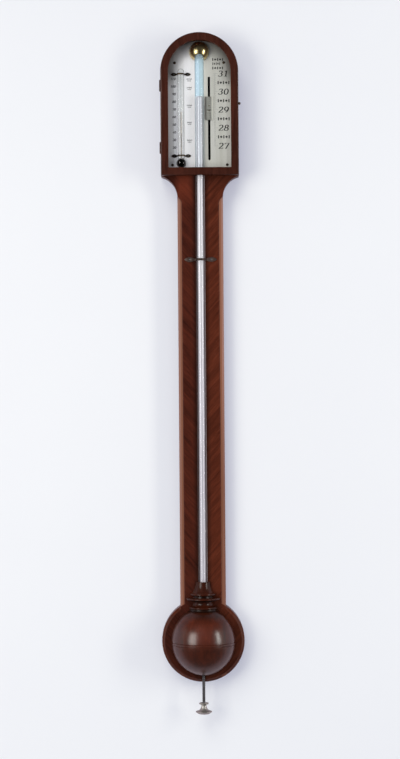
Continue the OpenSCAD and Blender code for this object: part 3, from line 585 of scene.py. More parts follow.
def clear_glass(name, tint, rough, ior, zones=(), edge_reflection=0.0, edge_reflection_boxes=(), haze=None):
    """Clear glass that lets light through to what lies behind, with painted reflection along its
    sides.

    Edge reflection boxes tint that painted reflection, and haze is a box of bloom on the inside."""
    material, tree, shader, out = blank(name)
    fill(shader, {"Base Color": zoned(tree, tint, zones), "Roughness": rough,
                  "Transmission Weight": 1.0, "IOR": ior})
    surface = shader.outputs[0]
    if edge_reflection:
        facing = output(tree, "LayerWeight", {"Blend": 0.3}, "Facing")
        reach = spread(facing, 0.2, 0.6, 0, edge_reflection)
        hue = zoned(tree, colours().edge, edge_reflection_boxes)
        if haze:
            low, high, bloom, strength, soft = haze
            mask = zone(tree, low, high, soft)
            reach = maths("MAXIMUM", reach, times(mask, strength))
            inside = spread(facing, 0.1, 0.4, 1, 0)
            hue = blend(times(mask, inside), hue, bloom)
        surface = mix(reach, surface, output(tree, "BsdfDiffuse", {"Color": hue}))
    rays = node(tree, "LightPath").outputs
    unseen = maths("MAXIMUM", rays["Is Shadow Ray"], rays["Is Diffuse Ray"])
    passing = maths("MAXIMUM", unseen, mirrored(rays))
    through = output(tree, "BsdfTransparent", {"Color": tint})
    fill(out, {"Surface": mix(passing, surface, through)})
    return material


@cache
def case_wood():
    """Mahogany of the case, with painted sheen on the chamfers and painted shade behind the
    register's slot.
    """
    c = colours()
    stop, deep, brown_tall = 27 * MM, 7 * MM, 0.3
    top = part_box("trunk_veneer_left")[1][2] - stop
    back = FACE_Y + deep
    # Near-black painted shade in the recess behind the register's slot
    slot = (0.002, 0.002, 0.002)
    zones = []
    # Painted sheen on the chamfers: paler on the outer half, lighter on the right chamfer, browner
    # lower down, most on the right
    for side, lit, brown in ((-1, 1.0, 0.15), (1, 1.4, 0.75)):
        for near, far, tint in ((25.4, 29, c.rubbed), (29, 32.2, c.rubbed_pale)):
            x0, x1 = sorted((side * near * MM, side * far * MM))
            zones.append(((x0, FACE_Y, BASE_Z), (x1, back, top), [v * lit for v in tint],
                          0.8, 0.02))
            zones.append(((x0, FACE_Y, BASE_Z - brown_tall), (x1, back, BASE_Z + brown_tall),
                          c.rubbed_brown, brown, 0.3))
    zones.append(((10 * MM, -0.06, up(660)), (17 * MM, 0, up(800)), slot, 1.0, 0.02))
    return wood("mahogany_case", c.case_dark, c.case_light, zones=zones)


# Clean and stained colour, amount and size of the stains, polish and, if not 1, metallic
FINISHES = {
    "brass": ("brass", "brass_aged", 0.35, 90, 0.24),
    "aged_brass": ("brass_aged", "dark_metal", 0.6, 120, 0.34),
    "dark_metal": ("dark_metal", "brass_aged", 0.45, 150, 0.36),
    "grey_steel": ("steel", "dark_metal", 0.5, 110, 0.46),
    "hinge_brass": ("hinge", "dark_metal", 0.5, 120, 0.42),
    "dull_brass": ("knob", "dark_metal", 0.45, 130, 0.46),
    "kid_leather": ("leather", "boxwood", 0.4, 300, 0.6, 0.0),
    "engraving": ("engraving", "dark_metal", 0.25, 400, 0.6, 0.0),
}


@cache
def finish(name):
    """One of the plain finishes."""
    clean, stained, *rest = FINISHES[name]
    return metal(name, getattr(colours(), clean), getattr(colours(), stained), *rest)


@cache
def mercury():
    """Mirror of the mercury, greyer towards the cistern."""
    c = colours()
    low = (*band(up(-200), up(380)), c.mercury_low, 1.0, 0.5)
    return metal("mercury", c.mercury, c.steel, 0.03, 40, 0.5, 0.6, zones=[low], relief=0.0)


# Pieces

class BAROMETER_OT_case(Operator):
    """Polish the case: board, rim, chevron veneers and the hanging plate"""
    bl_idname = "barometer.case"
    bl_label = "Case"

    def execute(self, context):
        c = colours()
        dress(["backboard", "head_rim"], case_wood(), sizes().edge)
        lean, stripe = 42, (5, 5, 70)
        # Painted shade on the veneers: beside the tube, under the head and near the cover
        beside_tube = band(BASE_Z, BOARD_HIGH[2], -10.5 * MM, 10.5 * MM)
        shades = [(*beside_tube, c.grime, 0.6, 0.25),
                  (*band(up(635), up(690)), c.grime, 0.2, 0.5),
                  (*band(up(-80), up(48)), c.grime, 0.22, 0.1)]
        # Lighter on the left veneer at the shoulder
        lighter_shoulder = (*band(up(622), up(684), -32 * MM, -13 * MM), c.shoulder, 0.4, 0.5)
        dress(["trunk_veneer_left"], wood("veneer_left", c.left_dark, c.left_light, -lean, stripe,
                                          zones=shades + [lighter_shoulder]))
        dress(["trunk_veneer_right"], wood("veneer_right", c.right_dark, c.right_light, lean,
                                           stripe, (0.003, 0, 0.011), zones=shades))
        dress(["hanging_plate"], finish("brass"))
        dress(["hanging_screws", "cover_screws"], finish("aged_brass"))
        return {"FINISHED"}


class BAROMETER_OT_door(Operator):
    """Finish the door: frame, glass, bead, hinges and pull"""
    bl_idname = "barometer.door"
    bl_label = "Door"

    def execute(self, context):
        c = colours()
        dress(["door_frame"], wood("mahogany_door", c.door_dark, c.door_light, size=(9, 9, 90)))
        dress(["glazing_bead"], case_wood())
        dress(["door_glass"], clear_glass("door_glass", (0.99, 1.0, 1.0), 0.02, 1.12))
        hinges = [f"{level}_hinge_{part}" for level in ("upper", "lower")
                  for part in ("case_leaf", "door_leaf", "pin")]
        dress(hinges + ["hinge_case_screws", "hinge_door_screws"], finish("hinge_brass"))
        dress(["door_pull"], finish("dark_metal"))
        return {"FINISHED"}


# Strokes of the figures in a box 0.6 wide and 1 tall
FIGURE_WIDE = 0.6
FIGURE_STEP = 0.74
FIGURE_LEAN = 0.14
FIGURES = {
    "0": [oval(0.3, 0.5, 0.25, 0.48, 0, 360, 36)],
    "1": [[(0.3, 0), (0.3, 1)], [(0.3, 0.97), (0.12, 0.84)], [(0.12, 0.02), (0.48, 0.02)]],
    "2": [oval(0.29, 0.72, 0.23, 0.26, 165, -25) + [(0.06, 0.04)],
          [(0.06, 0.05), (0.56, 0.05), (0.58, 0.2)]],
    "3": [oval(0.28, 0.75, 0.2, 0.23, 160, -90), oval(0.27, 0.27, 0.25, 0.25, 90, -160)],
    "4": [[(0.42, 0), (0.42, 1), (0.04, 0.3), (0.6, 0.3)]],
    "5": [[(0.52, 0.96), (0.14, 0.96), (0.1, 0.5)] + oval(0.28, 0.3, 0.25, 0.28, 125, -160)],
    "6": [oval(0.3, 0.33, 0.24, 0.31, 0, 360, 36), oval(0.49, 0.36, 0.43, 0.6, 185, 105)],
    "7": [[(0.05, 0.78), (0.05, 0.95), (0.57, 0.95), (0.24, 0)]],
    "8": [oval(0.3, 0.75, 0.19, 0.23, 0, 360, 36), oval(0.3, 0.26, 0.25, 0.25, 0, 360, 36)],
    "9": [oval(0.3, 0.67, 0.24, 0.31, 0, 360, 36), oval(0.11, 0.64, 0.43, 0.6, 5, -75)],
}


def pen_stroke(bm, points, place, thick, thin):
    """Draws a stroke that is thick where it runs upright and thin where it runs level."""
    pairs = []
    for k, (x, z) in enumerate(points):
        before, after = points[max(k - 1, 0)], points[min(k + 1, len(points) - 1)]
        way = Vector((after[0] - before[0], after[1] - before[1])).normalized()
        half = (thin + (thick - thin) * abs(way.y)) / 2
        sides = [(x + sign * way.y * half, 0, z - sign * way.x * half) for sign in (-1, 1)]
        pairs.append([bm.verts.new(place @ Vector(side)) for side in sides])
    faces = [bm.faces.new((a[0], a[1], b[1], b[0])) for a, b in zip(pairs, pairs[1:])]
    made = bmesh.ops.extrude_face_region(bm, geom=faces)["geom"]
    bmesh.ops.translate(bm, vec=(0, -sizes().mark, 0),
                        verts=[v for v in made if isinstance(v, bmesh.types.BMVert)])


def write_number(bm, words, x, z, height, align=0.5, widen=1.0, thick=0.17, thin=0.06):
    """Adds a number as thin wax that stands on a plate."""
    wide = FIGURE_STEP * (len(words) - 1) + FIGURE_WIDE
    size = Matrix.Diagonal((height * widen, 1, height, 1))
    lean = Matrix(((1, 0, FIGURE_LEAN, 0), (0, 1, 0, 0), (0, 0, 1, 0), (0, 0, 0, 1)))
    for k, figure in enumerate(words):
        shift = Matrix.Translation((FIGURE_STEP * k - wide * align, 0, -0.5))
        place = Matrix.Translation((x, PLATE_Y, z)) @ size @ lean @ shift
        for points in FIGURES[figure]:
            pen_stroke(bm, points, place, thick, thin)


def rule(bm, x0, x1, z, face_y=PLATE_Y, width=None):
    """Adds a level engraved line."""
    half = (width or sizes().line) / 2
    block(bm, (x0, face_y - sizes().mark, z - half), (x1, face_y, z + half))


def lozenge(bm, x, z, wide, tall):
    """Adds a diamond that stands on its point."""
    thick = sizes().mark
    made = block(bm, (-0.5, -0.5, -0.5), (0.5, 0.5, 0.5))
    turn = Matrix.Rotation(pi / 4, 4, "Y")
    stretch = Matrix.Diagonal((wide / sqrt(2), thick, tall / sqrt(2), 1))
    place = Matrix.Translation((x, PLATE_Y - thick / 2, z))
    bmesh.ops.transform(bm, verts=made, matrix=place @ stretch @ turn)


def flourish(bm, x, z, reach, tall):
    """Adds an ornament of bars and diamonds in turn, with a bar at either end."""
    count = max(3, round(reach / (tall * 0.72)) // 2 * 4 + 1)
    step = 2 * reach / count
    for k in range(count):
        middle = x + (k - (count - 1) / 2) * step
        if k % 2:
            lozenge(bm, middle, z, step, tall * 0.85)
        else:
            rule(bm, middle - step * 0.2, middle + step * 0.2, z, width=tall)


class BAROMETER_OT_plates(Operator):
    """Silver the plates and engrave their scales"""
    bl_idname = "barometer.plates"
    bl_label = "Plates and scales"

    def execute(self, context):
        c = colours()
        s = sizes()
        frame_low, frame_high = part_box("door_frame")
        half = (frame_high[0] - frame_low[0]) / 2
        inner, outer, left_wide, right_wide = 28 * MM, 7 * MM, 9 * MM, 7 * MM
        arch = (frame_high[2] - half, half - inner, half - outer)
        low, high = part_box("thermometer_plate")
        # Painted shadow of the door's frame along the left plate's left edge and the right plate's
        # right edge
        left_shadow = (low, (low[0] + left_wide, 0, high[2]), c.border, 0.75, 0.3)
        low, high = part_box("register_plate")
        right_shadow = ((high[0] - right_wide, low[1], low[2]), high, c.border, 0.4, 0.3)
        for name, silver, clean, stains, border in (
                ("thermometer_plate", "silver_left", c.silver_left, 0.25, left_shadow),
                ("register_plate", "silver_right", c.silver_right, 0.5, right_shadow)):
            dress([name], metal(silver, clean, c.tarnish, stains, 110, 0.42, metallic=0.1,
                                stretch=16, zones=[border], arch=arch))
        dress(["plate_screws"], finish("dark_metal"))
        self.engrave_inches(s)
        self.engrave_degrees(s)
        return {"FINISHED"}

    def engrave_inches(self, s):
        """Inches in twentieths, with numbers, ornaments and the slots of the screws."""
        bm = bmesh.new()
        scale_x, number_x, word_x = 20.6, 33.9, 34.0
        parts, top_z, row = 20, 816.3, 6.0
        for n in range(LOW_INCH, HIGH_INCH + 1):
            write_number(bm, str(n), number_x * MM, inch_z(n), s.numeral, widen=1.28)
        for n in range(LOW_INCH, HIGH_INCH):
            flourish(bm, word_x * MM, inch_z(n + 0.5), reach=9.4 * MM, tall=4.4 * MM)
        marks = ((20, 5.0), (10, 3.6), (2, 2.6), (1, 1.6))
        for step in range((HIGH_INCH - LOW_INCH) * parts + 1):
            long = next(reach for part, reach in marks if step % part == 0)
            rule(bm, scale_x * MM, (scale_x + long) * MM, inch_z(LOW_INCH + step / parts))
        for k, (x, reach) in enumerate(((26, 8.6), (24, 6), (26, 8.6))):
            flourish(bm, x * MM, up(top_z - row * k), reach * MM, tall=3.8 * MM)
        for low, high in quarters("plate_screws"):
            (x, _, z), size = span(low, high)
            half = size[0] * 0.42
            rule(bm, x - half, x + half, z, low[1], s.slot)
        bmesh.ops.recalc_face_normals(bm, faces=bm.faces)
        piece("register_marks", bm, "case", finish("engraving"), smooth=0)

    def engrave_degrees(self, s):
        """Degrees from 110 down, with numbers and pairs of ornaments."""
        bm = bmesh.new()
        top_z, ten_degrees, parts, count = 789.5, 10.73, 5, 46
        scale_x, number_x, word_x = -30.7, -33.4, -14.2
        for k, degree in enumerate(range(110, 10, -10)):
            write_number(bm, str(degree), number_x * MM, up(top_z - ten_degrees * k), s.degree,
                         align=1.0, thick=0.24, thin=0.12)
        for step in range(count):
            long = 2.0 if step % parts == 0 else 1.2
            rule(bm, (scale_x - long) * MM, scale_x * MM, up(top_z - ten_degrees * step / parts))
        for z in (789, 777, 752, 728, 703):
            flourish(bm, word_x * MM, up(z), reach=3.8 * MM, tall=2.2 * MM)
            flourish(bm, word_x * MM, up(z - 2.6), reach=2.6 * MM, tall=1.8 * MM)
        bmesh.ops.recalc_face_normals(bm, faces=bm.faces)
        piece("thermometer_marks", bm, "case", finish("engraving"), smooth=0)


class BAROMETER_OT_vernier(Operator):
    """Finish the vernier and divide its cursor"""
    bl_idname = "barometer.vernier"
    bl_label = "Vernier"

    def execute(self, context):
        c = colours()
        low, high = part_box("vernier_cursor")
        left, right, foot, top = low[0], high[0], low[2], high[2]
        notch = foot + (top - foot) * 0.4

        def strip(z0, z1, x0, x1):
            return band(z0, z1, x0, x1, back=0)
        # Painted light and shade on the cursor: a highlight on the bevel, shade in the index notch
        # with a highlight below it, and a shadow along its left edge next to the tube
        middle = (left + 3 * MM, right - 2.4 * MM)
        bevel = (*strip(foot, top, right - 2.2 * MM, right + MM), c.bevel, 1.0, 0.05)
        notch_shade = (*strip(notch - 0.2 * MM, notch + 1.6 * MM, *middle), c.dark_metal, 0.75, 0.15)
        lit = (*strip(notch - 2 * MM, notch - 0.4 * MM, *middle), c.bevel, 0.3, 0.3)
        shade = (*strip(foot, top, left - MM, left + 2 * MM), c.dark_metal, 1.0, 0.2)
        dress(["vernier_cursor"], metal("cursor_silver", c.cursor, c.dark_metal, 0.15, 120, 0.4,
                                        0.15, zones=[bevel, notch_shade, lit, shade], relief=0.0),
              0.12 * MM)
        dress(["vernier_keeper"], finish("brass"))
        dress(["vernier_rivets"], finish("aged_brass"))
        bm = bmesh.new()
        scale_x, first, division = left + 6.0 * MM, 1.2, 1.15 * INCH / 10 * 0.96
        for step in range(11):
            reach = 2.6 if step % 5 == 0 else 1.6
            rule(bm, scale_x, scale_x + reach * MM, top - (first + step * division) * MM, low[1])
        piece("vernier_marks", bm, "vernier", finish("engraving"), smooth=0)
        return {"FINISHED"}


class BAROMETER_OT_thermometer(Operator):
    """Blow the thermometer's glass and fill it"""
    bl_idname = "barometer.thermometer"
    bl_label = "Thermometer"

    def execute(self, context):
        c = colours()
        low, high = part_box("thermometer_tube")
        (x, y, _), size = span(low, high)
        base, top = low[2], high[2]
        bulb_r = size[1] / 2 / MM
        centre = base + bulb_r * MM
        stem_r, bore_r, wall, reading = 4.4, 0.6, 0.7, 71
        tall = (top - centre) / MM
        join = degrees(acos(stem_r / bulb_r))
        outer = arc(0, 0, bulb_r, -90, join, 24) + arc(0, tall - stem_r, stem_r, 0, 90, 10)
        open_at = degrees(acos(bore_r / (bulb_r - wall)))
        inner = arc(0, 0, bulb_r - wall, -90, open_at, 24)
        inner += [(bore_r, tall - 2 * stem_r), (0, tall - 2 * stem_r)]

        def turned(points):
            return lathe([(r * MM, centre + z * MM) for r, z in points], 48, x, y)
        bm = turned(outer)
        hollow = turned(inner)
        bmesh.ops.reverse_faces(hollow, faces=hollow.faces)
        spare = mesh_of("spare", hollow)
        bm.from_mesh(spare)
        bpy.data.meshes.remove(spare)
        # Painted dark reflection along the sides of the stem
        edge_reflection_boxes = [(*band(base, top), c.stem_edge, 1.0, 0.001)]
        glass = clear_glass("thermometer_glass", (0.97, 0.98, 0.98), 0.0, 1.15, edge_reflection=0.9,
                            edge_reflection_boxes=edge_reflection_boxes)
        piece("thermometer_glass", bm, "case", glass, ["thermometer_tube"])
        over = 0.02
        thread = arc(0, 0, bulb_r - wall + over, -90, open_at, 24)
        thread += [(bore_r + over, reading), (0, reading + 0.3)]
        fine = (*band(centre + bulb_r * MM, top), c.thread, 1.0, 0.01)
        piece("thermometer_thread", turned(thread), "case",
              metal("bulb_mercury", c.bulb, c.dark_metal, 0.1, 60, 0.1, zones=[fine]),
              ["thermometer_mercury"])
        dress(["upper_thermometer_clip", "lower_thermometer_clip"], finish("dark_metal"), 0.12 * MM)
        dress(["thermometer_clip_pins"], finish("grey_steel"))
        return {"FINISHED"}


class BAROMETER_OT_tube(Operator):
    """Draw the barometer tube, fill it and cap it with the brass ball"""
    bl_idname = "barometer.tube"
    bl_label = "Barometer tube"

    def execute(self, context):
        c = colours()
        foot, top = TUBE_LOW[2], TUBE_HIGH[2]
        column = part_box("mercury_column")[1]
        bore, level = column[0] + 0.05 * MM, column[2]
        profile = [(bore, foot), (TUBE_R, foot)] + dome(TUBE_R, top)
        profile += dome(bore, top - (TUBE_R - bore))[::-1]
        head, above, sharp = up(655), level + 0.1, 0.001
        tints = [(*band(head, above), c.filled, 1.0, sharp),
                 (*band(level, above), c.glass, 1.0, sharp)]
        # Painted reflection along the tube's sides: lighter on the right, darker on the left
        edge_reflection_boxes = [(*band(foot - 0.1, level, left=0), c.edge_lit, 1.0, sharp),
                 (*band(head, above, right=0), c.head_edge, 1.0, sharp),
                 (*band(head, above, left=0), c.head_edge_lit, 1.0, sharp)]
        haze = (*band(level, above), c.haze, 0.2, sharp)
        glass = clear_glass("tube_glass", (0.97, 0.97, 0.97), 0.0, 1.15, tints, 0.85, edge_reflection_boxes, haze)
        piece("tube_glass", lathe(profile, 72), "case", glass, ["barometer_tube"])

        # The mercury reaches past the glass's inner face, so that no gap shows between them
        r = bore + 0.02 * MM
        dome_r = r * 1.25
        drop = dome_r - sqrt(dome_r ** 2 - r ** 2)
        lean = degrees(asin(r / dome_r))
        profile = [(0, foot), (r, foot), (r, level - drop)]
        profile += arc(0, level - dome_r, dome_r, 90 - lean, 90, 10)[1:]
        piece("mercury", lathe(profile, 72), "case", mercury(), ["mercury_column"])

        low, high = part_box("tube_cap")
        radius = (high[0] - low[0]) / 2
        ball_z = top - radius / 3
        bm = bmesh.new()
        place = Matrix.Translation((0, low[1] + radius, ball_z))
        bmesh.ops.create_uvsphere(bm, u_segments=72, v_segments=48, radius=radius, matrix=place)
        cut(bm, (0, PLATE_Y, 0), (0, 1, 0))
        room = 0.1 * MM
        gap, below = TUBE_R + room, ball_z - 2 * radius
        bm = carve(bm, lathe([(0, below), (gap, below)] + dome(gap, top + room), 72))
        notch = bmesh.new()
        block(notch, (-gap, AXIS_Y, below), (gap, PLATE_Y + gap, ball_z - 4 * MM))
        piece("ball", carve(bm, notch), "case", finish("brass"), ["tube_cap"])

        strap = (*band(BASE_Z, level, -7 * MM, 7 * MM), c.dark_metal, 0.85, 0.15)
        dress(["trunk_tube_clip"], metal("clip_brass", c.clip, c.dark_metal, 0.4, 150, 0.42,
                                         zones=[strap]), 0.15 * MM)
        dress(["trunk_clip_pins"], finish("grey_steel"))
        return {"FINISHED"}


class BAROMETER_OT_cistern(Operator):
    """Fill the cistern and tie its leather bag"""
    bl_idname = "barometer.cistern"
    bl_label = "Cistern"

    def execute(self, context):
        c = colours()
        turned = wood("boxwood", [v * 0.6 for v in c.boxwood], c.boxwood, size=(6, 6, 60),
                      polish=0.15, pores=0.25)
        dress(["cistern_pot", "cistern_cap", "cistern_base_ring", "pressure_pad"], turned)
        dress(["nut_plate"], finish("brass"))
        dress(["nut_plate_screws"], finish("aged_brass"))
        dress(["tube_gland"], finish("kid_leather"))

        rim, low = up(-14), up(-20.2)
        outside, inside, flange, thick = 13.5 * MM, 12.3 * MM, 20.9 * MM, 1.2 * MM
        turn, turn_in = 2.5 * MM, 1.3 * MM
        flat = outside - turn
        profile = [(0, low), (flat, low)] + arc(flat, low + turn, turn, -90, 0, 6)[1:]
        profile += [(outside, rim - thick), (flange, rim - thick), (flange, rim),
                    (inside, rim), (inside, low + thick + 1.4 * MM)]
        profile += arc(inside - turn_in, low + thick + turn_in, turn_in, 0, -90, 5)[1:]
        profile += [(0, low + thick)]
        bm = lathe(profile, 72)
        pleats, pleat = 18, 0.35 * MM
        pleat_in, pleat_out, pleat_top = 11.2 * MM, 14 * MM, rim - 1.3 * MM
        for v in bm.verts:
            out = Vector((v.co.x, v.co.y - AXIS_Y, 0))
            if pleat_in < out.length < pleat_out and v.co.z < pleat_top:
                angle = atan2(out.y, out.x)
                v.co -= out.normalized() * pleat * (0.5 + 0.5 * cos(pleats * angle))
        bag = piece("bag", bm, None, finish("kid_leather"), ["leather_bag"])
        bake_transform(bag)

        bottom, side, pot = low + 1.3 * MM, inside - 0.5 * MM, 16.4 * MM
        tube, tube_foot, level = TUBE_R + 0.1 * MM, up(-8.1), up(LEVEL)
        pool = [(0, bottom), (side - 2 * MM, bottom), (side, low + 3 * MM), (side, rim),
                (pot, rim + 0.1 * MM), (pot, level), (tube, level), (tube, tube_foot),
                (0, tube_foot)]
        fluid = piece("cistern_pool", lathe(pool, 48), None, mercury(),
                      ["cistern_mercury"])
        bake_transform(fluid)
        return {"FINISHED"}


class BAROMETER_OT_cover(Operator):
    """Turn the cistern cover"""
    bl_idname = "barometer.cover"
    bl_label = "Cistern cover"

    def execute(self, context):
        c = colours()
        # Centre and radius of the lower and upper half, which meet at an incised line
        lower, upper = (-2.6, 47.6), (-6.0, 51.0)
        equator, wall, foot_r, neck_r = -1.0, 8.0, 2.5, 19
        line_r, line_d, line_half, line_gap = 45.0, 0.7, 0.7, 3.5
        low_line_r = line_r - 0.13

        def half(side, take, start, end, count):
            centre, r = side
            return arc(centre, equator, r - take, start, end, count)

        def at(side, take, radius):
            centre, r = side
            return degrees(acos((radius - centre) / (r - take)))
        groove = degrees(asin(line_gap / lower[1]))
        wide = degrees(line_half / lower[1])
        profile = half(lower, 0, -at(lower, 0, foot_r), -groove - wide, 40)
        profile += [(low_line_r - line_d, equator - line_gap)]
        profile += half(lower, 0, -groove + wide, -wide, 4)
        profile += [(line_r - line_d, equator)]
        profile += half(upper, 0, wide, at(upper, 0, neck_r), 36)

        # Neck: ring, cove, wide ring, groove, ring and bell
        ring_r, cove_r, mid_r, groove_r, top_r, lip_r = 20, 13.8, 23.5, 13.5, 18, 10
        ring_h, cove_h, mid_h, groove_h, top_h = 3.4, 9.5, 3.0, 2.8, 4.0
        bell_h, bell_flare = 15.5, 5
        neck_z = profile[-1][1]
        ring_z = neck_z + 1.6
        cove_z = ring_z + ring_h
        mid_z = cove_z + cove_h
        groove_z = mid_z + mid_h
        top_z = groove_z + groove_h
        bell_z = top_z + top_h + bell_h
        profile += [(neck_r, ring_z)] + bead(ring_r, ring_z, ring_h)
        profile += arc(cove_r + cove_h / 2, cove_z + cove_h / 2, cove_h / 2, 270, 90, 18)
        profile += bead(mid_r, mid_z, mid_h) + [(groove_r, groove_z), (groove_r, top_z)]
        profile += bead(top_r, top_z, top_h)
        bell_r = (bell_h ** 2 + bell_flare ** 2) / (2 * bell_flare)
        start = degrees(asin(bell_h / bell_r))
        profile += arc(lip_r + bell_r, bell_z, bell_r, 180 + start, 180, 16)
        bore = TUBE_R / MM + 0.3
        profile += [(bore, bell_z)] + half(upper, wall, at(upper, wall, bore), 0, 24)
        profile += half(lower, wall, 0, -at(lower, wall, foot_r), 24)[1:]
        bm = lathe([(r * MM, up(z)) for r, z in profile], 128, closed=True)
        cut(bm, (0, FACE_Y, 0), (0, 1, 0))

        # Painted sheen on the upper half between the highlights; painted shade under the lowest
        # ring, under the wide ring, in the groove, over the whole finial and on the dome round the
        # neck
        zones = [(*band(up(equator), up(28), -15 * MM, 15 * MM), c.cover_sheen, 0.24, 0.6)]
        for z0, z1, strength, soft in (
                (neck_z - 1.5, ring_z + 0.8, 0.85, 0.25), (mid_z - 2.5, mid_z + 0.6, 0.85, 0.25),
                (groove_z + 0.7, top_z + 0.6, 0.85, 0.25), (neck_z - 2, 100, 0.35, 0.03),
                (neck_z - 9, neck_z + 2, 0.45, 0.6)):
            zones.append((*band(up(z0), up(z1)), c.grime, strength, soft))
        wooden = wood("turned_cover", c.cover_dark, c.cover_light, size=(14, 14, 60), polish=1.0,
                      polish_rough=0.28, coat_ior=1.54, pores=0.4, wear_and_sheen=0.12, zones=zones,
                      dull=(*band(up(22), up(110)), 0.7, 0.15))
        piece("cover", bm, "case", wooden, ["cistern_cover"], smooth=30)
        return {"FINISHED"}


class BAROMETER_OT_screw(Operator):
    """Cut the portable screw's thread and turn its knob"""
    bl_idname = "barometer.screw"
    bl_label = "Portable screw"

    def execute(self, context):
        self.thread()
        self.knob()
        return {"FINISHED"}

    def thread(self):
        """A rod with a wider, chamfered tip, and the thread that winds up it."""
        pitch = sizes().pitch
        low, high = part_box("portable_screw")
        foot, top = low[2], high[2]
        crest = (high[0] - low[0]) / 2
        deep, ease, tip, tip_foot = 0.42 * MM, 0.4 * MM, 2.6 * MM, 3 * MM
        root = crest - deep
        rod = [(0, foot), (root, foot), (root, top - tip_foot), (crest, top - tip),
               (crest, top - ease), (crest - ease, top), (0, top)]
        bm = lathe(rod, 32)
        turns, steps = 44, 20
        start, sunk = foot + 7.4 * MM, root - 0.05 * MM
        section = ((sunk, 0), (crest, 0.42), (crest, 0.58), (sunk, 0.98))
        before = set(bm.faces)
        tooth = wire(bm, [(r, start + part * pitch) for r, part in section], closed=True)
        bmesh.ops.spin(bm, geom=tooth, cent=(0, AXIS_Y, 0), axis=(0, 0, 1),
                       dvec=(0, 0, pitch / steps), angle=tau * turns, steps=turns * steps)
        thread = [f for f in bm.faces if f not in before]
        ends = [e for e in bm.edges if e.is_boundary]
        thread += bmesh.ops.edgenet_fill(bm, edges=ends)["faces"]
        bmesh.ops.recalc_face_normals(bm, faces=thread)
        piece("screw_thread", bm, "screw", finish("grey_steel"),
              ["portable_screw"], smooth=25)

    def knob(self):
        """A flange, a narrow neck and a wide flared rim, bored for the screw."""
        low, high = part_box("screw_knob")
        base, top, wide = low[2] / MM, high[2] / MM, high[0] / MM
        tall = top - base
        flange, neck, foot, bore = 6.6, 3.6, 6.7, 2.25
        flange_round, rim_round, foot_round = 0.6, 0.7, 0.8
        under, throat, waist = 1.5, 2.3, 3.0
        flare = wide - neck
        rim_z = base + 0.24 * tall
        shoulder = flange - flange_round
        hole = base + tall / 2
        profile = [(0, hole), (bore, hole), (bore, top), (shoulder, top)]
        profile += arc(shoulder, top - flange_round, flange_round, 90, 0, 5)[1:]
        profile += arc(shoulder, top - under, flange_round, 0, -90, 5)
        profile += [(neck + 0.5, top - throat), (neck, top - waist)]
        profile += arc(wide + 0.2, rim_z + flare + 0.3, flare + 0.2, 180, 264, 18)
        profile += arc(wide - rim_round, rim_z - rim_round, rim_round, 60, -60, 6)
        profile += [(foot + 1.4, base + 0.5)]
        profile += arc(foot, base + foot_round, foot_round, -60, -90, 3)
        profile += [(0, base)]
        piece("knob", lathe([(r * MM, z * MM) for r, z in profile], 72), "screw",
              finish("dull_brass"), ["screw_knob"])


# Stage

def towards(way):
    """Turn of a lamp that shines along a vector."""
    return Vector(way).to_track_quat("-Z", "Y").to_euler()


def area_light(name, place, aim, size, power):
    light = bpy.data.lights.new(name, "AREA")
    light.shape = "RECTANGLE"
    light.size, light.size_y = size
    light.energy = power
    light.color = (1.0, 0.98, 0.94)
    obj = linked(name, light)
    obj.location = place
    obj.rotation_euler = towards(Vector(aim) - Vector(place))


def wall_paint():
    """Pale paint, seen through from behind, that lights what lies against it."""
    c = colours()
    material, tree, shader, out = blank("wall_paint")
    vector = spot(tree)
    rays = node(tree, "LightPath").outputs
    uneven = spread(noise(vector, 1.7, 4, 0.5), 0.3, 0.7)
    paint = blend(uneven, [v * 0.96 for v in c.wall], c.wall)
    fill(shader, {
        "Base Color": blend(mirrored(rays), paint, c.wall_reflected),
        "Roughness": 0.85,
        "Normal": bump(noise(vector, 90, 4, 0.6), 0.1, 0.0006)})
    seen = maths("MAXIMUM", rays["Is Camera Ray"], rays["Is Transmission Ray"])
    glow = times(seen, stage().wall_glow)
    pale = output(tree, "Emission", {"Color": (0.91, 0.955, 1.45), "Strength": glow})
    plain = output(tree, "AddShader", {0: shader.outputs[0], 1: pale})
    lit = mix(rays["Is Diffuse Ray"], plain, output(tree, "Emission", {"Strength": 0.6}))
    behind = output(tree, "NewGeometry", out="Backfacing")
    fill(out, {"Surface": mix(behind, lit, output(tree, "BsdfTransparent"))})
    return material


def room_light(tree, ambient):
    """Light of the room: stronger from the front, dim in mirrors and pale to the camera."""
    def light(tint, strength):
        return output(tree, "Background", {"Color": tint, "Strength": strength})
    rays = node(tree, "LightPath").outputs
    depth = output(tree, "SeparateXYZ", {0: output(tree, "TexCoord", out="Generated")}, "Y")
    front = times(spread(depth, 0, -1, 0.35, 1.4), ambient)
    room = light((0.9, 0.94, 1.05), front)
    dim = light((0.9, 0.95, 1.0), spread(depth, -1, 0, 0.025, 0.16))
    pale = light((0.93, 0.95, 1.0), 0.9)
    shiny = mix(rays["Is Glossy Ray"], room, dim)
    node(tree, "OutputWorld", {"Surface": mix(rays["Is Camera Ray"], shiny, pale)})


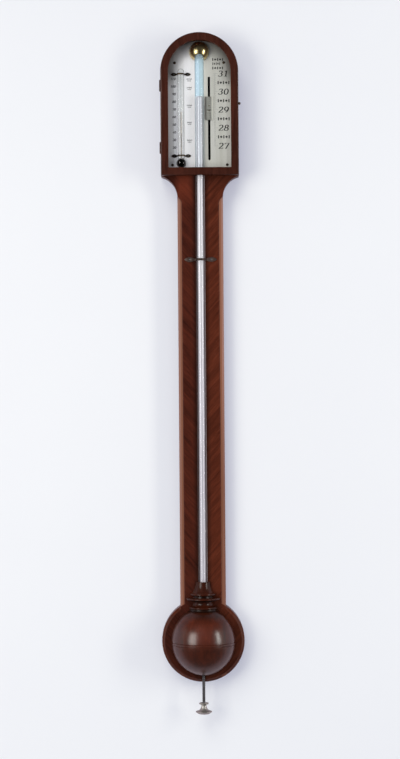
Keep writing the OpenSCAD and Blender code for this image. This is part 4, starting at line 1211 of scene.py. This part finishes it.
class BAROMETER_OT_stage(Operator):
    """Hang the barometer on a pale wall in soft light, before the camera"""
    bl_idname = "barometer.stage"
    bl_label = "Wall, light and camera"

    def execute(self, context):
        g = stage()
        scene = context.scene
        middle = BASE_Z + g.height
        gap, half_wide = 0.0008, 4
        bm = bmesh.new()
        place = Matrix.Translation((0, gap, middle)) @ Matrix.Rotation(pi / 2, 4, "X")
        bmesh.ops.create_grid(bm, x_segments=1, y_segments=1, size=half_wide, matrix=place)
        wall = linked("wall", mesh_of("wall", bm))
        wall.data.materials.append(wall_paint())

        aim, box_z = (0, 0, middle), middle + 0.15
        area_light("left_box", (-1.45, -1.75, box_z), aim, (1.0, 1.4), g.left_power)
        area_light("right_box", (1.81, -1.22, box_z), aim, (0.4, 1.3), g.right_power)
        for name, x in (("left_panel", -2.0), ("right_panel", 2.0)):
            area_light(name, (x, -0.34, middle), (0, -0.1, middle), (0.6, 2.0), g.side_power)
        sky = bpy.data.lights.new("sky", "SUN")
        sky.energy = g.sky_strength
        sky.angle = radians(35)
        high = linked("sky", sky)
        high.rotation_euler = towards((0.35, 1.0, -0.95))
        high.visible_glossy = False

        scene.world = bpy.data.worlds.new("room")
        scene.world.use_nodes = True
        scene.world.node_tree.nodes.clear()
        room_light(scene.world.node_tree, g.ambient)

        lens = bpy.data.cameras.new("camera")
        lens.sensor_width = 36
        lens.lens = lens.sensor_width * g.distance / g.frame_height
        lens.clip_start, lens.clip_end = 0.05, 50
        camera = linked("camera", lens)
        camera.location = (g.across, PLATE_Y - g.distance, middle)
        camera.rotation_euler = (pi / 2, g.roll, 0)
        scene.camera = camera
        scene.view_settings.view_transform = "Standard"
        return {"FINISHED"}


class BAROMETER_PT_panel(Panel):
    """The barometer's pieces and settings"""
    bl_idname = "BAROMETER_PT_panel"
    bl_label = "Stick barometer"
    bl_space_type = "VIEW_3D"
    bl_region_type = "UI"
    bl_category = "Barometer"

    def draw(self, context):
        scene = context.scene
        for operator in OPERATORS:
            self.layout.operator(operator.bl_idname)
        for group in (scene.barometer_sizes, scene.barometer_stage, scene.barometer_colours):
            column = self.layout.column(align=True)
            for key in group.__annotations__:
                column.prop(group, key)


GROUPS = {"barometer_colours": BarometerColours, "barometer_sizes": BarometerSizes,
          "barometer_stage": BarometerStage}
OPERATORS = (BAROMETER_OT_case, BAROMETER_OT_door, BAROMETER_OT_plates, BAROMETER_OT_vernier,
             BAROMETER_OT_thermometer, BAROMETER_OT_tube, BAROMETER_OT_cistern,
             BAROMETER_OT_cover, BAROMETER_OT_screw, BAROMETER_OT_stage)
CLASSES = (*GROUPS.values(), *OPERATORS, BAROMETER_PT_panel)


def register():
    for cls in CLASSES:
        bpy.utils.register_class(cls)
    for name, group in GROUPS.items():
        setattr(bpy.types.Scene, name, PointerProperty(type=group))


def unregister():
    for name in GROUPS:
        delattr(bpy.types.Scene, name)
    for cls in reversed(CLASSES):
        bpy.utils.unregister_class(cls)


def main():
    register()
    bpy.ops.barometer.case()
    bpy.ops.barometer.door()
    bpy.ops.barometer.plates()
    bpy.ops.barometer.vernier()
    bpy.ops.barometer.thermometer()
    bpy.ops.barometer.tube()
    bpy.ops.barometer.cistern()
    bpy.ops.barometer.cover()
    bpy.ops.barometer.screw()
    bpy.ops.barometer.stage()


if __name__ == "__main__":
    main()
